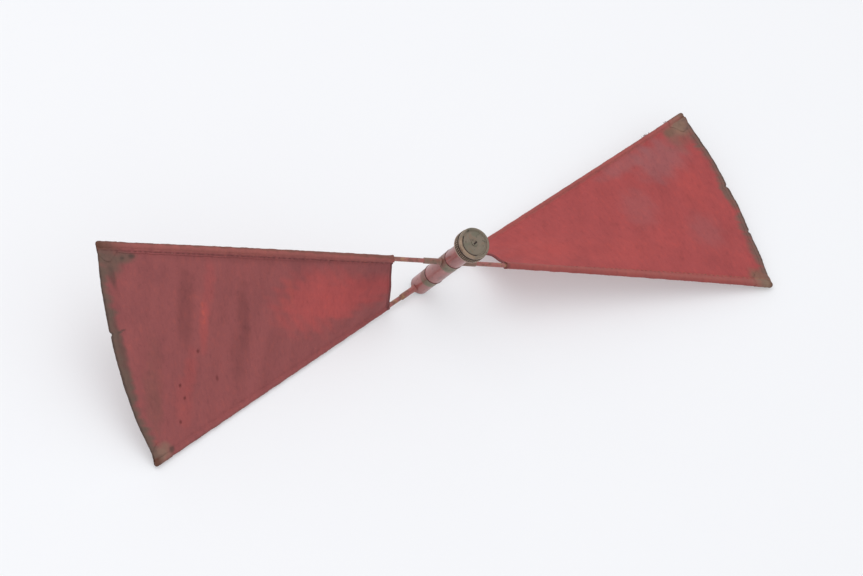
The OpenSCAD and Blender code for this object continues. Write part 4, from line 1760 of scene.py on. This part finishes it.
@dataclass(frozen=True)
class HandSignal:
    """The whole object: both wings, all pockets, the knob and the CAD pieces' finishes."""

    hub: HubFrame
    fold_start: float = 24 * MM
    fold_end: float = 77 * MM
    sheet_flat: tuple[float, float] = (0.43, 0.29)
    sheet_area: float = 0.073
    loose_threads: tuple[float, ...] = (0.418, 0.424, 0.461)

    def shape(
        self, side: Side, crown: float, hollow: float, seed: int, notches: tuple[float, ...]
    ) -> ClothShape:
        """Surface of one side's cloth.

        Args:
            side: Left or right.
            crown: How far the outer edge bulges between the rods.
            hollow: How far the inner edge is cut back between the rods.
            seed: Picks the phases of the cloth's waves.
            notches: Places of the notches in the outer edge.

        Returns:
            The surface.
        """
        upper = RodLine.from_nodes(self.hub, side, Level.UPPER)
        lower = RodLine.from_nodes(self.hub, side, Level.LOWER)
        return ClothShape(self.hub, side, upper, lower, crown, hollow, seed, notches)

    def dress_cad(self) -> None:
        """Gives every CAD node that stays in sight its finish."""
        for finish, nodes in CAD_FINISHES.items():
            material = finish.make(self.hub.turn)
            for node in nodes:
                materials = frame["nodes"][node].data.materials
                materials.clear()
                materials.append(material)

    def build_wing(self, wing: Wing, red: bpy.types.Material) -> None:
        """Builds one wing and what is sewn to it.

        Args:
            wing: The wing.
            red: Material of the wing's cloth.
        """
        cloth, binding, hem = wing.build(), wing.binding(), wing.inner_hem()
        dress(cloth, red)
        dress(binding, red)
        dress(hem, red)
        lower, upper = self.hub.z * self.fold_start, self.hub.z * self.fold_end
        for piece in (cloth, binding, hem):
            Level.LOWER.body
            Level.UPPER.body
            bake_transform(piece)
            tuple(lower)
            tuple(upper)
            LOG.info("%s bends between the arms", piece.name)
        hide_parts(f"{wing.name}_wing")
        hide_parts(f"{wing.name}_outer_hem")
        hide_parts(f"{wing.name}_inner_hem")

    def build_pockets(self, wing: Wing, red: bpy.types.Material) -> None:
        """Builds both pockets of one side with patches and stitches.

        Args:
            wing: The wing of that side.
            red: Material of the cloth.
        """
        shape = wing.shape
        left = shape.side is Side.LEFT
        outside, rubbed = (0.75, 0.0) if left else (0.2, 0.5)
        # On the left the seam line is dirt and painted shade.
        tip, seam = (ROLL_EDGE, SEAM_DIRT_AND_SHADE) if left else (CORNER_TAN, SEAM_TAN)
        worn = {"roll": ROLL_PINK, "tip": tip, "seam": seam}
        pockets = (
            Pocket(
                wing, shape.upper, roll_amount=0.75, outside_amount=outside, tip_length=42 * MM, **worn
            ),
            Pocket(
                wing, shape.lower, roll_amount=rubbed, outside_amount=0.6, tip_length=12 * MM,
                wrap_radius=3.65 * MM, **worn,
            ),
        )
        for pocket in pockets:
            rod = pocket.rod
            sleeve, patch, stitches = pocket.build(), pocket.patch(), pocket.stitches()
            dress(sleeve, red)
            dress(patch, red)
            dress(stitches, THREAD.make(self.hub.turn))
            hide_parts(f"{rod.name}_pocket")
            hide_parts(f"{rod.name}_patch")
            pieces = [sleeve, patch, stitches]
            if rod is shape.lower and not left:
                pieces.append(pocket.loose_threads(self.loose_threads))
                dress(pieces[-1], THREAD.make(self.hub.turn))
            for piece in pieces:
                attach(piece, rod.level.body)
                LOG.info("%s rides on %s", piece.name, rod.level.body)

    def build_knob(self) -> None:
        """Builds the knob's three visible pieces."""
        knob = Knob(self.hub)
        body, disc, screw = knob.body(), knob.disc(), knob.screw()
        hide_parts("knob_body")
        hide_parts("knob_disc")
        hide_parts("knob_screw")
        for piece in (body, disc, screw):
            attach(piece, "knob")
            LOG.info("%s rides on knob", piece.name)


@dataclass(frozen=True)
class Studio:
    """Pale table, soft overhead light and the camera."""

    azimuth: float = -60.064
    elevation: float = 51.122
    roll: float = 20.611
    distance: float = 5.9326
    aim: Vector = Vector((9.41 * MM, -13.31 * MM, 1.21 * MM))
    lens: float = 187.717
    sensor: float = 36.0
    table_white: Colour = (0.57, 0.572, 0.59)
    table_smudge: Colour = (0.56, 0.562, 0.58)
    table_glow: Colour = (0.97, 0.98, 1.0)
    table_glow_strength: float = 0.315

    def camera(self) -> None:
        """Makes the camera."""
        across, up = math.radians(self.azimuth), math.radians(self.elevation)
        back = Vector((
            math.sin(across) * math.cos(up), -math.cos(across) * math.cos(up), math.sin(up),
        ))
        data = bpy.data.cameras.new("camera")
        data.lens, data.sensor_width = self.lens, self.sensor
        data.clip_end = 100.0
        camera = bpy.data.objects.new("camera", data)
        camera.location = self.aim + back * self.distance
        level = (-back).to_track_quat("-Z", "Y")
        camera.rotation_mode = "QUATERNION"
        camera.rotation_quaternion = level @ Quaternion((0, 0, 1), math.radians(self.roll))
        bpy.context.scene.collection.objects.link(camera)
        bpy.context.scene.camera = camera

    def light(self, name: str, place: Vector, size: float, power: float) -> None:
        """Adds a square soft box that faces the hub.

        Args:
            name: Name of the light.
            place: Where it hangs.
            size: Side of the square.
            power: Power in watts.
        """
        data = bpy.data.lights.new(name, "AREA")
        data.shape, data.size, data.energy = "SQUARE", size, power
        lamp = bpy.data.objects.new(name, data)
        lamp.location = place
        lamp.rotation_mode = "QUATERNION"
        lamp.rotation_quaternion = (-place).to_track_quat("-Z", "Y")
        bpy.context.scene.collection.objects.link(lamp)

    def build(self) -> None:
        """Makes the table, the lights and the camera."""
        self.camera()
        deselect()
        bpy.ops.mesh.primitive_plane_add(size=30.0, location=(0, 0, CAD_BOX[0].z - 0.1 * MM))
        table = bpy.context.object
        table.name = "table"
        graph = Graph("table_white")
        smudge = graph.noise(graph.place(), scale=3.0)
        share = graph.step(smudge, 0.3, 0.8) * 0.5
        white = graph.feed(
            Base_Color=graph.mix(share, self.table_white, self.table_smudge), Roughness=0.6,
            Emission_Color=self.table_glow, Emission_Strength=self.table_glow_strength,
        )
        table.data.materials.append(white)
        world = bpy.data.worlds.new("studio")
        world.use_nodes = True
        sky = world.node_tree.nodes["Background"]
        sky.inputs["Color"].default_value = (0.98, 0.99, 1.0, 1.0)
        sky.inputs["Strength"].default_value = 0.84
        bpy.context.scene.world = world
        bpy.context.scene.view_settings.view_transform = "Standard"
        self.light("overhead_softbox", place=Vector((-0.5, 0.8, 4.0)), size=3.6, power=54.0)


def main() -> None:
    """Builds the studio and the whole signal."""
    logging.basicConfig(level=logging.INFO, format="%(message)s")
    Studio().build()
    hub = HubFrame.from_joint("fan_pivot")
    signal = HandSignal(hub)
    signal.dress_cad()
    red = ClothFinish("red_cloth").make()
    left = signal.shape(Side.LEFT, crown=15.5 * MM, hollow=0.0, seed=11, notches=(0.397,))
    right = signal.shape(
        Side.RIGHT, crown=12.5 * MM, hollow=12.5 * MM, seed=23, notches=(0.30, 0.57)
    )
    wings = (
        Wing(
            left, ground=srgb(142, 77, 77), dabs=LEFT_DABS, bands=0.04,
            binding_width=9.0 * MM, edge_depth=13.0 * MM, edge_colour=OLIVE,
        ),
        Wing(
            right, ground=srgb(161, 72, 72), dabs=RIGHT_DABS, bands=0.025,
            binding_width=6.0 * MM, edge_depth=12.0 * MM, edge_colour=srgb(112, 88, 80),
        ),
    )
    for wing in wings:
        signal.build_wing(wing, red)
        signal.build_pockets(wing, red)
    signal.build_knob()


if __name__ == "__main__":
    main()
